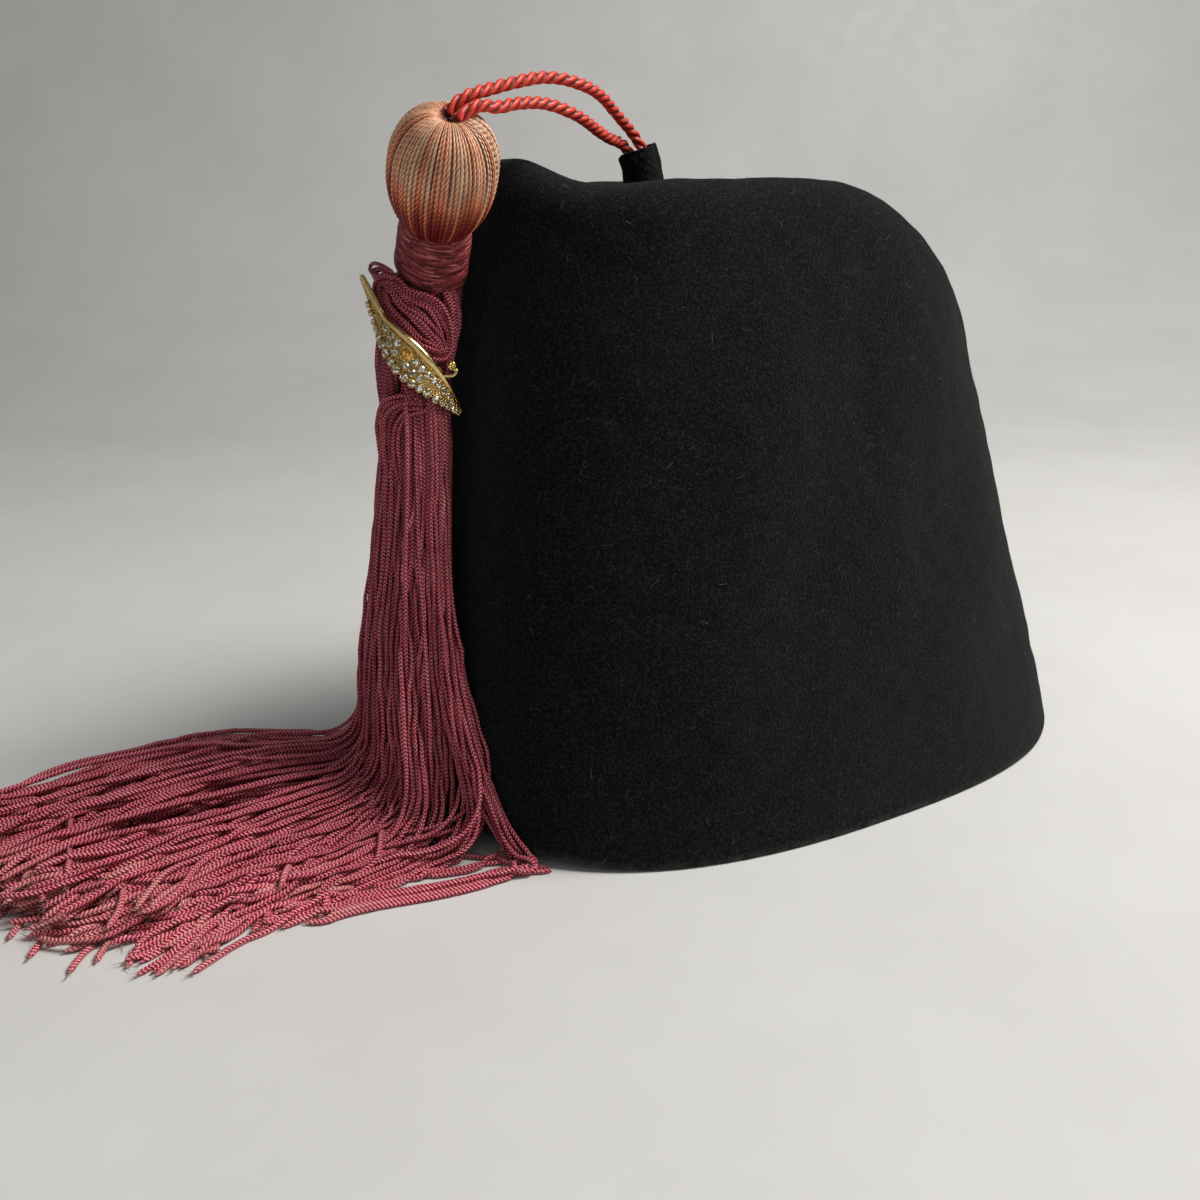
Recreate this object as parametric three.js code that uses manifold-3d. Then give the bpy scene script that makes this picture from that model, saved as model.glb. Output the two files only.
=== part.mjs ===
// Felt fez: a soft oval black felt crown that stands on its rim, with a short felt
// stem on the top, two legs of twisted cord, and a chainette tassel with a leaf brooch.
// Millimetres, +Z up. Origin: middle of the rim, on the surface the hat rests on.
// +X runs along the crown's long axis, away from the tassel.

import * as THREE from 'three';
import { mergeVertices } from 'three/addons/utils/BufferGeometryUtils.js';
import Module from 'manifold-3d';

// ---------------------------------------------------------------- felt crown
const FELT_WALL = 2.4;            // felt thickness
const RIM_HALF_LENGTH = 103.3;    // rim oval, along X
const RIM_HALF_WIDTH = 66.2;      // rim oval, along Y
const OVAL_POWER = 2.53;          // 2 = ellipse, larger = squarer ends
const TOP_HALF_LENGTH = 68.3;     // the straight wall aims at this oval at CROWN_HEIGHT
const TOP_HALF_WIDTH = 40.4;
const TOP_SHIFT_X = -11.8;        // the top sits back over the tassel end
const TOP_SHIFT_Y = 7.7;          // and leans a little to the far side
const CROWN_HEIGHT = 157.9;
const SHOULDER_BACK = 8.9;        // rounding into the top, by direction
const SHOULDER_FRONT = 76.2;
const SHOULDER_SIDE = 13.1;
const TOP_EDGE_TILT = 0.9;        // top edge height, front against back
const TOP_EDGE_SAG = -1.8;        // ends against sides
const BACK_PEAK = 7.4;            // raised corner over the tassel
const BACK_PEAK_POWER = 8;
const RIM_LIFT = 5.2;             // the rim's two ends stand off the surface
const RIM_LIFT_FROM = 0.5;        // |cos| where the lift begins
const DISH_DEPTH = 4.6;           // hollow of the top around the stem
const CROWN_SIDES = 48;
const WALL_STEPS = [0, 0.1, 0.22, 0.36, 0.5, 0.64, 0.77, 0.89, 1];
const SHOULDER_STEPS = [0.2, 0.4, 0.6, 0.8, 1];
const TOP_STEPS = [0.25, 0.5, 0.75];

// ---------------------------------------------------------------- felt stem
const STEM_AT = new THREE.Vector2(-29.0, 13.4);
const STEM_PAD_RADIUS = 8.0;      // level patch of felt that the stem stands on
const STEM_HEIGHT = 11.4;
const STEM_RADIUS = 5.2;
const STEM_BORE = 3.95;
const STEM_FLOOR = 2.0;
const STEM_LEAN = THREE.MathUtils.degToRad(21);
const STEM_LEAN_TOWARDS = new THREE.Vector2(-0.838, 0.546);
const STEM_SIDES = 20;

// ---------------------------------------------------------------- cord
const CORD_DIAMETER = 2.9;
const CORD_SIDES = 8;
const CORD_STEPS = 18;
const CORD_ROUTE_UPPER = [
  { x: -28.2, y: 12.9, z: 163.6 }, { x: -29.4, y: 13.5, z: 167.2 }, { x: -31.8, y: 14.0, z: 170.6 },
  { x: -40.4, y: 8.7, z: 174.7 }, { x: -50.2, y: 1.8, z: 178.6 }, { x: -61.2, y: -4.4, z: 180.4 },
  { x: -70.4, y: -6.4, z: 180.8 }, { x: -79.8, y: -9.1, z: 179.0 }, { x: -87.2, y: -10.8, z: 177.1 },
  { x: -92.3, y: -13.0, z: 175.8 }, { x: -96.3, y: -12.8, z: 173.9 }, { x: -98.9, y: -12.6, z: 171.4 },
];
const CORD_ROUTE_LOWER = [
  { x: -31.3, y: 14.9, z: 163.6 }, { x: -32.6, y: 15.5, z: 167.2 }, { x: -35.4, y: 14.9, z: 168.7 },
  { x: -41.9, y: 9.9, z: 169.2 }, { x: -49.3, y: 4.5, z: 170.8 }, { x: -59.4, y: -2.8, z: 173.2 },
  { x: -71.2, y: -7.8, z: 175.1 }, { x: -81.8, y: -12.0, z: 174.3 }, { x: -87.9, y: -14.4, z: 173.0 },
  { x: -91.2, y: -15.7, z: 173.6 }, { x: -95.1, y: -16.3, z: 172.3 }, { x: -98.0, y: -15.9, z: 169.9 },
];

// ---------------------------------------------------------------- tassel head and neck
const HEAD_CENTRE = new THREE.Vector3(-97.4, -7.3, 160.7);
const HEAD_AXIS = new THREE.Vector3(-0.117, -0.558, 0.821).normalize();
const HEAD_SIDES = 28;
const HEAD_PROFILE = [            // radius at a height along the head's axis
  { up: -15.0, radius: 0 }, { up: -15.0, radius: 6.4 }, { up: -13.3, radius: 8.3 }, { up: -9.9, radius: 10.3 },
  { up: -5.1, radius: 11.7 }, { up: 0.0, radius: 12.1 }, { up: 4.5, radius: 11.7 }, { up: 8.3, radius: 10.4 },
  { up: 11.0, radius: 8.7 }, { up: 12.3, radius: 7.2 }, { up: 12.6, radius: 6.4 }, { up: 11.8, radius: 5.8 },
  { up: 8.2, radius: 5.4 }, { up: 8.2, radius: 0 },
];
const NECK_SIDES = 24;
const NECK_PROFILE = [
  { up: -27.2, radius: 0 }, { up: -27.2, radius: 8.2 }, { up: -26.2, radius: 8.7 }, { up: -22.5, radius: 8.6 },
  { up: -18.5, radius: 8.5 }, { up: -16.4, radius: 8.1 }, { up: -15.3, radius: 7.0 }, { up: -15.3, radius: 0 },
];

// ---------------------------------------------------------------- tassel ruff and skirt
// Each row is one section of the bundle: its middle, half its width across (Y side)
// and half its depth.
const RUFF_SIDES = 18;
const RUFF_SECTIONS = [
  { x: -94.1, y: 8.3, z: 137.8, across: 8.2, deep: 8.2 }, { x: -93.85, y: 9.65, z: 135.75, across: 8.9, deep: 8.7 },
  { x: -94.8, y: 10.4, z: 131.6, across: 9.4, deep: 9.2 }, { x: -96.4, y: 10.2, z: 125.8, across: 9.8, deep: 9.6 },
  { x: -98.0, y: 9.6, z: 119.6, across: 9.9, deep: 9.7 }, { x: -98.9, y: 9.1, z: 113.6, across: 9.7, deep: 9.5 },
  { x: -99.0, y: 9.0, z: 107.4, across: 9.2, deep: 9.0 },
];
const SKIRT_SIDES = 20;
const SKIRT_SECTIONS = [
  { x: -99.0, y: 9.0, z: 106.8, across: 9.2, deep: 9.0 }, { x: -99.1, y: 9.0, z: 102.5, across: 9.2, deep: 8.9 },
  { x: -100.2, y: 8.6, z: 93.0, across: 9.3, deep: 8.8 },
  { x: -102.7, y: 8.4, z: 79.0, across: 9.9, deep: 8.8 }, { x: -105.9, y: 8.6, z: 60.0, across: 12.0, deep: 8.9 },
  { x: -109.2, y: 9.2, z: 42.5, across: 15.5, deep: 9.2 }, { x: -112.6, y: 9.6, z: 28.5, across: 20.5, deep: 10.0 },
  { x: -118.2, y: 10.0, z: 17.2, across: 27.0, deep: 11.0 }, { x: -128.0, y: 10.0, z: 10.4, across: 33.0, deep: 10.2 },
  { x: -143.0, y: 10.0, z: 7.6, across: 38.0, deep: 8.4 }, { x: -162.0, y: 11.0, z: 6.0, across: 41.0, deep: 7.0 },
  { x: -182.0, y: 11.5, z: 5.0, across: 41.0, deep: 6.0 }, { x: -199.0, y: 12.5, z: 4.2, across: 37.0, deep: 5.2 },
  { x: -211.0, y: 15.0, z: 3.4, across: 30.0, deep: 4.2 }, { x: -218.0, y: 16.5, z: 2.8, across: 22.0, deep: 3.0 },
];

// ---------------------------------------------------------------- brooch
const BROOCH_MIDDLE = new THREE.Vector2(-99.0, 9.0);    // upright line that the leaf curls round
const BROOCH_FACE = new THREE.Vector2(-0.546, -0.838);  // direction of zero turn
const BROOCH_SLOPE = THREE.MathUtils.degToRad(30);      // the leaf's width rises at this angle
const BROOCH_LEAF = [  // turn about the upright line, height, inner radius, half width, thickness
  { turn: -52, z: 137.4, radius: 12.4, half: 0.8, thick: 1.1 }, { turn: -51, z: 133.6, radius: 10.7, half: 1.5, thick: 1.5 },
  { turn: -44, z: 128.8, radius: 9.3, half: 2.0, thick: 1.9 }, { turn: -23, z: 124.6, radius: 9.5, half: 2.9, thick: 2.2 },
  { turn: -4, z: 120.8, radius: 10.2, half: 3.9, thick: 2.4 }, { turn: 13, z: 116.9, radius: 10.9, half: 4.1, thick: 2.4 },
  { turn: 32, z: 113.0, radius: 11.0, half: 3.2, thick: 2.1 }, { turn: 56, z: 108.4, radius: 10.8, half: 2.0, thick: 1.7 },
  { turn: 84, z: 104.3, radius: 10.9, half: 0.7, thick: 1.2 },
];
const BROOCH_ROUND = [  // section of the leaf: across from -1 to 1, share of the thickness
  { across: -1, out: 0.3 }, { across: -1, out: 0 }, { across: -0.45, out: 0 }, { across: 0.45, out: 0 },
  { across: 1, out: 0 }, { across: 1, out: 0.3 }, { across: 0.62, out: 0.8 }, { across: 0.2, out: 1 },
  { across: -0.2, out: 1 }, { across: -0.62, out: 0.8 },
];
const CATCH_KNOB = { turn: 53, z: 117.2, radius: 12.7 };
const CATCH_KNOB_RADIUS = 1.2;
const CATCH_ROOT = { turn: 42, z: 114.8, radius: 11.6 };
const CATCH_WIRE_RADIUS = 0.55;

// ---------------------------------------------------------------- shared shapes

// A closed skin of rings between two poles. place(row, side) gives each point; the
// first and the last row are single points.
function skin(rows, sides, place) {
  const profile = [];
  for (let row = 0; row < rows; row++) {
    profile.push(new THREE.Vector2(row === 0 || row === rows - 1 ? 0 : 1, row));
  }
  const geometry = new THREE.LatheGeometry(profile, sides);
  const position = geometry.attributes.position;
  for (let side = 0; side <= sides; side++) {
    for (let row = 0; row < rows; row++) {
      const p = place(row, side % sides);
      position.setXYZ(side * rows + row, p.x, p.y, p.z);
    }
  }
  geometry.computeVertexNormals();
  return geometry;
}

// A turned body on an axis: rows of { up, radius }, from the bottom to the top.
function turned(profile, sides, centre, axis) {
  const lean = new THREE.Quaternion().setFromUnitVectors(new THREE.Vector3(0, 0, 1), axis);
  return skin(profile.length, sides, (row, side) => {
    const a = (side / sides) * Math.PI * 2;
    const { up, radius } = profile[row];
    return new THREE.Vector3(radius * Math.cos(a), radius * Math.sin(a), up).applyQuaternion(lean).add(centre);
  });
}

// A bundle lofted through sections on a curved spine, never below the surface z = 0.
function bundle(sections, sides) {
  const middle = sections.map((s) => new THREE.Vector3(s.x, s.y, s.z));
  const spine = new THREE.CatmullRomCurve3(middle, false, 'centripetal');
  const frames = sections.map((s, i) => {
    const along = spine.getTangent(i / (sections.length - 1));
    const across = new THREE.Vector3(0, 1, 0).addScaledVector(along, -along.y).normalize();
    const deep = new THREE.Vector3().crossVectors(along, across);
    return { across, deep };
  });
  const last = sections.length + 1;
  return skin(sections.length + 2, sides, (row, side) => {
    const i = Math.min(Math.max(row - 1, 0), sections.length - 1);
    const p = middle[i].clone();
    if (row > 0 && row < last) {
      const a = (side / sides) * Math.PI * 2;
      p.addScaledVector(frames[i].across, sections[i].across * Math.cos(a));
      p.addScaledVector(frames[i].deep, sections[i].deep * Math.sin(a));
    }
    p.z = Math.max(p.z, 0);
    return p;
  });
}

function cordTube(route) {
  const path = new THREE.CatmullRomCurve3(route.map((p) => new THREE.Vector3(p.x, p.y, p.z)), false, 'centripetal');
  const ring = [];
  for (let i = 0; i < CORD_SIDES; i++) {
    const a = (i / CORD_SIDES) * Math.PI * 2;
    ring.push(new THREE.Vector2((CORD_DIAMETER / 2) * Math.cos(a), (CORD_DIAMETER / 2) * Math.sin(a)));
  }
  return new THREE.ExtrudeGeometry(new THREE.Shape(ring), { steps: CORD_STEPS, extrudePath: path, bevelEnabled: false });
}

// ---------------------------------------------------------------- the crown's skin

const signedPower = (v, p) => Math.sign(v) * Math.abs(v) ** p;

function oval(angle, halfLength, halfWidth) {
  return new THREE.Vector2(
    halfLength * signedPower(Math.cos(angle), 2 / OVAL_POWER),
    halfWidth * signedPower(Math.sin(angle), 2 / OVAL_POWER),
  );
}

const rimHeight = (angle) => {
  const over = Math.max(0, (Math.abs(Math.cos(angle)) - RIM_LIFT_FROM) / (1 - RIM_LIFT_FROM));
  return RIM_LIFT * over * over;
};

const topEdge = (angle) =>
  CROWN_HEIGHT + TOP_EDGE_TILT * Math.cos(angle) + TOP_EDGE_SAG * Math.cos(2 * angle)
  + BACK_PEAK * Math.max(0, -Math.cos(angle)) ** BACK_PEAK_POWER;

const shoulder = (angle) => {
  const end = Math.cos(angle) > 0 ? SHOULDER_FRONT : SHOULDER_BACK;
  return SHOULDER_SIDE + (end - SHOULDER_SIDE) * Math.cos(angle) ** 2;
};

// Outside of the wall at a height.
function wallPoint(angle, z) {
  const share = z / CROWN_HEIGHT;
  const rim = oval(angle, RIM_HALF_LENGTH, RIM_HALF_WIDTH);
  const top = oval(angle, TOP_HALF_LENGTH, TOP_HALF_WIDTH).add(new THREE.Vector2(TOP_SHIFT_X, TOP_SHIFT_Y));
  return rim.lerp(top, share);
}

const TOP_MIDDLE = new THREE.Vector2(TOP_SHIFT_X, TOP_SHIFT_Y);

// Lean of the wall from upright, where the shoulder begins.
function wallLean(angle) {
  const z = topEdge(angle) - 0.7 * shoulder(angle);
  const inward = wallPoint(angle, z).distanceTo(TOP_MIDDLE) - wallPoint(angle, z + 1).distanceTo(TOP_MIDDLE);
  return Math.atan(Math.max(0, inward));
}

const PAD_HEIGHT = CROWN_HEIGHT - DISH_DEPTH + 2.4;
const CROWN_ROWS = WALL_STEPS.length + SHOULDER_STEPS.length + TOP_STEPS.length + 2;

// Outside of the crown: row 0 is the rim, the last row is the middle of the top.
function crownPoint(row, angle) {
  const zRim = rimHeight(angle);
  const zTop = topEdge(angle);
  const r = shoulder(angle);
  const lean = wallLean(angle);
  const zWall = zTop - r * (1 - Math.sin(lean));
  if (row < WALL_STEPS.length) {
    const z = zRim + (zWall - zRim) * WALL_STEPS[row];
    const p = wallPoint(angle, z);
    return new THREE.Vector3(p.x, p.y, z);
  }
  const start = wallPoint(angle, zWall);
  const reach = start.distanceTo(TOP_MIDDLE);
  const roundTo = (step) => {
    const turn = lean + (Math.PI / 2 - lean) * step;
    const p = TOP_MIDDLE.clone().lerp(start, 1 - (r * (Math.cos(lean) - Math.cos(turn))) / reach);
    return new THREE.Vector3(p.x, p.y, zWall + r * (Math.sin(turn) - Math.sin(lean)));
  };
  row -= WALL_STEPS.length;
  if (row < SHOULDER_STEPS.length) return roundTo(SHOULDER_STEPS[row]);
  row -= SHOULDER_STEPS.length;
  const edge = roundTo(1);
  const pad = new THREE.Vector3(
    STEM_AT.x + STEM_PAD_RADIUS * Math.cos(angle), STEM_AT.y + STEM_PAD_RADIUS * Math.sin(angle), PAD_HEIGHT);
  if (row < TOP_STEPS.length) {
    const k = TOP_STEPS[row];
    const p = edge.clone().lerp(pad, k);
    p.z = edge.z + (PAD_HEIGHT - edge.z) * k * k * (3 - 2 * k);
    return p;
  }
  return row === TOP_STEPS.length ? pad : new THREE.Vector3(STEM_AT.x, STEM_AT.y, PAD_HEIGHT);
}

// Inside of the crown: the outside moved in by the felt's thickness.
function crownInside(row, angle) {
  const p = crownPoint(row, angle);
  if (row >= CROWN_ROWS - 2) return p.setZ(p.z - FELT_WALL);
  const da = 0.02;
  const round = crownPoint(row, angle + da).sub(crownPoint(row, angle - da));
  const up = crownPoint(row + 1, angle).sub(crownPoint(Math.max(row - 1, 0), angle));
  const out = round.cross(up).normalize();
  if (row === 0) {
    out.z = 0;
    out.normalize();
  }
  return p.addScaledVector(out, -FELT_WALL);
}

function crownGeometry() {
  return skin(CROWN_ROWS * 2, CROWN_SIDES, (row, side) => {
    const angle = ((side + 0.5) / CROWN_SIDES) * Math.PI * 2;
    return row < CROWN_ROWS ? crownInside(CROWN_ROWS - 1 - row, angle) : crownPoint(row - CROWN_ROWS, angle);
  });
}

// ---------------------------------------------------------------- the stem

function stemGeometry() {
  const base = new THREE.Vector3(STEM_AT.x, STEM_AT.y, PAD_HEIGHT + 0.3);
  const profile = [
    { up: STEM_FLOOR, radius: 0 }, { up: STEM_FLOOR, radius: STEM_BORE },
    { up: STEM_HEIGHT * 0.6, radius: STEM_BORE }, { up: STEM_HEIGHT, radius: STEM_BORE },
    { up: STEM_HEIGHT, radius: STEM_RADIUS }, { up: STEM_HEIGHT * 0.6, radius: STEM_RADIUS },
    { up: STEM_HEIGHT * 0.25, radius: STEM_RADIUS }, { up: 0, radius: STEM_RADIUS + 0.4 }, { up: 0, radius: 0 },
  ].reverse();
  const hinge = new THREE.Vector3(-STEM_LEAN_TOWARDS.y, STEM_LEAN_TOWARDS.x, 0).normalize();
  return skin(profile.length, STEM_SIDES, (row, side) => {
    const a = (side / STEM_SIDES) * Math.PI * 2;
    const { up, radius } = profile[row];
    const lean = STEM_LEAN * Math.min(1, up / STEM_HEIGHT);
    const ring = new THREE.Vector3(radius * Math.cos(a), radius * Math.sin(a), 0).applyAxisAngle(hinge, lean);
    const rise = new THREE.Vector3(
      STEM_LEAN_TOWARDS.x * up * Math.sin(lean / 2), STEM_LEAN_TOWARDS.y * up * Math.sin(lean / 2), up * Math.cos(lean / 2));
    return base.clone().add(rise).add(ring);
  });
}

// ---------------------------------------------------------------- the brooch

function roundBundle({ turn, z, radius }) {
  const a = Math.atan2(BROOCH_FACE.y, BROOCH_FACE.x) + THREE.MathUtils.degToRad(turn);
  return new THREE.Vector3(BROOCH_MIDDLE.x + radius * Math.cos(a), BROOCH_MIDDLE.y + radius * Math.sin(a), z);
}

function leafGeometry() {
  const rows = BROOCH_LEAF.length + 2;
  return skin(rows, BROOCH_ROUND.length, (row, side) => {
    const leaf = BROOCH_LEAF[Math.min(Math.max(row - 1, 0), BROOCH_LEAF.length - 1)];
    const { across, out } = row === 0 || row === rows - 1 ? { across: 0, out: 0.5 } : BROOCH_ROUND[side];
    const v = across * leaf.half;
    return roundBundle({
      turn: leaf.turn + THREE.MathUtils.radToDeg((v * Math.cos(BROOCH_SLOPE)) / leaf.radius),
      z: leaf.z + v * Math.sin(BROOCH_SLOPE),
      radius: leaf.radius + out * leaf.thick,
    });
  });
}

function catchWireGeometry() {
  const path = new THREE.LineCurve3(roundBundle(CATCH_ROOT), roundBundle(CATCH_KNOB));
  const ring = [];
  for (let i = 0; i < CORD_SIDES; i++) {
    const a = (i / CORD_SIDES) * Math.PI * 2;
    ring.push(new THREE.Vector2(CATCH_WIRE_RADIUS * Math.cos(a), CATCH_WIRE_RADIUS * Math.sin(a)));
  }
  return new THREE.ExtrudeGeometry(new THREE.Shape(ring), { steps: 3, extrudePath: path, bevelEnabled: false });
}

const wasm = await Module();
wasm.setup();

function toSolid(geometry) {
  const bare = geometry.clone();
  bare.deleteAttribute('normal');
  bare.deleteAttribute('uv');
  const merged = mergeVertices(bare, 1e-4);
  const index = Array.from(merged.index.array);
  const triVerts = [];
  for (let i = 0; i < index.length; i += 3) {
    const [a, b, c] = [index[i], index[i + 1], index[i + 2]];
    if (a !== b && b !== c && c !== a) triVerts.push(a, b, c);
  }
  return new wasm.Manifold(new wasm.Mesh({
    numProp: 3,
    vertProperties: new Float32Array(merged.attributes.position.array),
    triVerts: new Uint32Array(triVerts),
  }));
}

function toGeometry(solid) {
  const mesh = solid.getMesh();
  const geometry = new THREE.BufferGeometry();
  geometry.setAttribute('position', new THREE.BufferAttribute(new Float32Array(mesh.vertProperties), 3));
  geometry.setIndex(new THREE.BufferAttribute(new Uint32Array(mesh.triVerts), 1));
  geometry.computeVertexNormals();
  return geometry;
}

function broochGeometry() {
  const knobAt = roundBundle(CATCH_KNOB);
  const knob = new THREE.SphereGeometry(CATCH_KNOB_RADIUS, 10, 8).translate(knobAt.x, knobAt.y, knobAt.z);
  return toGeometry(toSolid(leafGeometry()).add(toSolid(catchWireGeometry())).add(toSolid(knob)));
}

// ---------------------------------------------------------------- assembly

const MATERIALS = {
  felt: { color: 0x0d0f12, roughness: 0.98, metalness: 0 },
  cord: { color: 0xc8321f, roughness: 0.7, metalness: 0 },
  headThread: { color: 0x9d5a4c, roughness: 0.6, metalness: 0 },
  neckThread: { color: 0x7c3640, roughness: 0.6, metalness: 0 },
  chainette: { color: 0x7c2340, roughness: 0.65, metalness: 0 },
  gilt: { color: 0xd2b06a, roughness: 0.25, metalness: 1 },
};

const fez = new THREE.Group();

function addPiece(group, name, geometry, finish) {
  const mesh = new THREE.Mesh(geometry, new THREE.MeshStandardMaterial(MATERIALS[finish]));
  mesh.name = name;
  group.add(mesh);
}

const hat = new THREE.Group();
addPiece(hat, 'felt_crown', crownGeometry(), 'felt');
addPiece(hat, 'felt_stem', stemGeometry(), 'felt');

const tassel = new THREE.Group();
addPiece(tassel, 'cord_leg_upper', cordTube(CORD_ROUTE_UPPER), 'cord');
addPiece(tassel, 'cord_leg_lower', cordTube(CORD_ROUTE_LOWER), 'cord');
addPiece(tassel, 'tassel_head', turned(HEAD_PROFILE, HEAD_SIDES, HEAD_CENTRE, HEAD_AXIS), 'headThread');
addPiece(tassel, 'tassel_neck', turned(NECK_PROFILE, NECK_SIDES, HEAD_CENTRE, HEAD_AXIS), 'neckThread');
addPiece(tassel, 'tassel_ruff', bundle(RUFF_SECTIONS, RUFF_SIDES), 'chainette');
addPiece(tassel, 'tassel_skirt', bundle(SKIRT_SECTIONS, SKIRT_SIDES), 'chainette');
addPiece(tassel, 'brooch', broochGeometry(), 'gilt');

fez.add(hat, tassel);

export default fez;
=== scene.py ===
import math

import bpy
import numpy as np
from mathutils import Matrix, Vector


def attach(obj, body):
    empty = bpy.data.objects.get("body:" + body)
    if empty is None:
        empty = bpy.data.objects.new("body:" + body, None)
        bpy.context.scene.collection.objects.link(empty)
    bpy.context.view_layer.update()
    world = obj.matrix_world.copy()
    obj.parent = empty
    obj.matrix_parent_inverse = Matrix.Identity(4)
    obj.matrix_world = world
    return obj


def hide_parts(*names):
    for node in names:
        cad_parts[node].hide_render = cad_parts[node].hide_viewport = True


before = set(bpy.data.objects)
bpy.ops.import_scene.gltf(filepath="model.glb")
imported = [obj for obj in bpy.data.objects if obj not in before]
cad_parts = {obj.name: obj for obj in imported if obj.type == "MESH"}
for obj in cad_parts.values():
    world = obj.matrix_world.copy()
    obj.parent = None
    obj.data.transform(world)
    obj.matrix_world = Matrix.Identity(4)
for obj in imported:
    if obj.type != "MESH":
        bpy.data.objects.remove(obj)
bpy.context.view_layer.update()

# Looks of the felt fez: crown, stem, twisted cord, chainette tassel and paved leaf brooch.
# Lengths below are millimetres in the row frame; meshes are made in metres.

MM = 0.001

# ---------------------------------------------------------------- camera

camera_data = bpy.data.cameras.new("camera")
camera_data.lens = 36.72
camera_data.sensor_width = 36.0
camera_data.clip_start = 0.01
camera = bpy.data.objects.new("camera", camera_data)
camera.location = (-0.22391, -0.26626, 0.15113)
camera.rotation_euler = Vector((0.5186, 0.8003, -0.3010)).to_track_quat("-Z", "Y").to_euler()
bpy.context.scene.collection.objects.link(camera)
bpy.context.scene.camera = camera

# ---------------------------------------------------------------- small helpers


def unit(v):
    v = np.asarray(v, float)
    return v / np.maximum(np.linalg.norm(v, axis=-1, keepdims=True), 1e-12)


def smooth(x, a=0.0, b=1.0):
    t = np.clip((np.asarray(x, float) - a) / (b - a), 0, 1)
    return t * t * (3 - 2 * t)


class Waves:
    """Smooth field in space: a sum of sine waves of random direction."""

    def __init__(self, seed, shortest, longest, count=24):
        rng = np.random.default_rng(seed)
        length = shortest * (longest / shortest) ** rng.random(count)
        self.k = unit(rng.normal(size=(count, 3))) * (2 * math.pi / length)[:, None]
        self.phase = rng.random(count) * 2 * math.pi
        self.gain = math.sqrt(2.0 / count)

    def __call__(self, p):
        p = np.asarray(p, float)
        return np.sin(p @ self.k.T + self.phase).sum(-1) * self.gain


def spline(points, step=None, count=None):
    """Centripetal curve through points, resampled evenly along its length."""
    p = np.asarray(points, float)
    p = np.concatenate([[2 * p[0] - p[1]], p, [2 * p[-1] - p[-2]]])
    out = []
    for i in range(1, len(p) - 2):
        a, b, c, d = p[i - 1 : i + 3]
        t0 = 0.0
        t1 = t0 + math.sqrt(np.linalg.norm(b - a)) + 1e-9
        t2 = t1 + math.sqrt(np.linalg.norm(c - b)) + 1e-9
        t3 = t2 + math.sqrt(np.linalg.norm(d - c)) + 1e-9
        t = np.linspace(t1, t2, 25)[:-1, None]
        ab = (t1 - t) / (t1 - t0) * a + (t - t0) / (t1 - t0) * b
        bc = (t2 - t) / (t2 - t1) * b + (t - t1) / (t2 - t1) * c
        cd = (t3 - t) / (t3 - t2) * c + (t - t2) / (t3 - t2) * d
        abc = (t2 - t) / (t2 - t0) * ab + (t - t0) / (t2 - t0) * bc
        bcd = (t3 - t) / (t3 - t1) * bc + (t - t1) / (t3 - t1) * cd
        out.append((t2 - t) / (t2 - t1) * abc + (t - t1) / (t2 - t1) * bcd)
    dense = np.concatenate(out + [p[-2][None]])
    return resample(dense, step, count)


def resample(dense, step=None, count=None):
    s = np.concatenate([[0], np.cumsum(np.linalg.norm(np.diff(dense, axis=0), axis=1))])
    if count is None:
        count = max(3, int(round(s[-1] / step)) + 1)
    at = np.linspace(0, s[-1], count)
    return np.stack([np.interp(at, s, dense[:, k]) for k in range(dense.shape[1])], -1)


def length_of(path):
    return float(np.linalg.norm(np.diff(path, axis=0), axis=1).sum())


def grid_faces(rows, cols, wrap=True, first=0):
    i = np.arange(rows - 1)[:, None]
    j = np.arange(cols if wrap else cols - 1)[None, :]
    k = (j + 1) % cols
    quads = np.stack([i * cols + j, i * cols + k, (i + 1) * cols + k, (i + 1) * cols + j], -1)
    return quads.reshape(-1, 4) + first


def grid_uv(u, v, wrap=True):
    """Corner coordinates for grid_faces: u has one value per column edge, v one per row."""
    cols = len(u) - 1
    u0, u1 = np.asarray(u[:-1]), np.asarray(u[1:])
    v0, v1 = np.asarray(v[:-1]), np.asarray(v[1:])
    rows = len(v0)
    uv = np.empty((rows, cols, 4, 2))
    uv[:, :, 0, 0] = uv[:, :, 3, 0] = u0[None]
    uv[:, :, 1, 0] = uv[:, :, 2, 0] = u1[None]
    uv[:, :, 0, 1] = uv[:, :, 1, 1] = v0[:, None]
    uv[:, :, 2, 1] = uv[:, :, 3, 1] = v1[:, None]
    return uv.reshape(-1, 2)


def add_mesh(name, points, faces, material, slot=None, floats=None, uvs=None, flat=False, stands_for=()):
    """A mesh piece from millimetre points. uvs hold one pair per face corner."""
    mesh = bpy.data.meshes.new(name)
    mesh.from_pydata((np.asarray(points, float) * MM).tolist(), [], [list(f) for f in faces])
    if not flat:
        mesh.polygons.foreach_set("use_smooth", np.ones(len(mesh.polygons), bool))
    for key, values in (floats or {}).items():
        layer = mesh.attributes.new(key, "FLOAT", "POINT")
        layer.data.foreach_set("value", np.asarray(values, np.float32))
    for key, values in (uvs or {}).items():
        layer = mesh.uv_layers.new(name=key)
        layer.data.foreach_set("uv", np.asarray(values, np.float32).ravel())
    mesh.materials.append(material)
    obj = bpy.data.objects.new(name, mesh)
    bpy.context.scene.collection.objects.link(obj)
    if slot:
        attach(obj, "root")
    if stands_for:
        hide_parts(*stands_for)
    return obj


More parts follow.
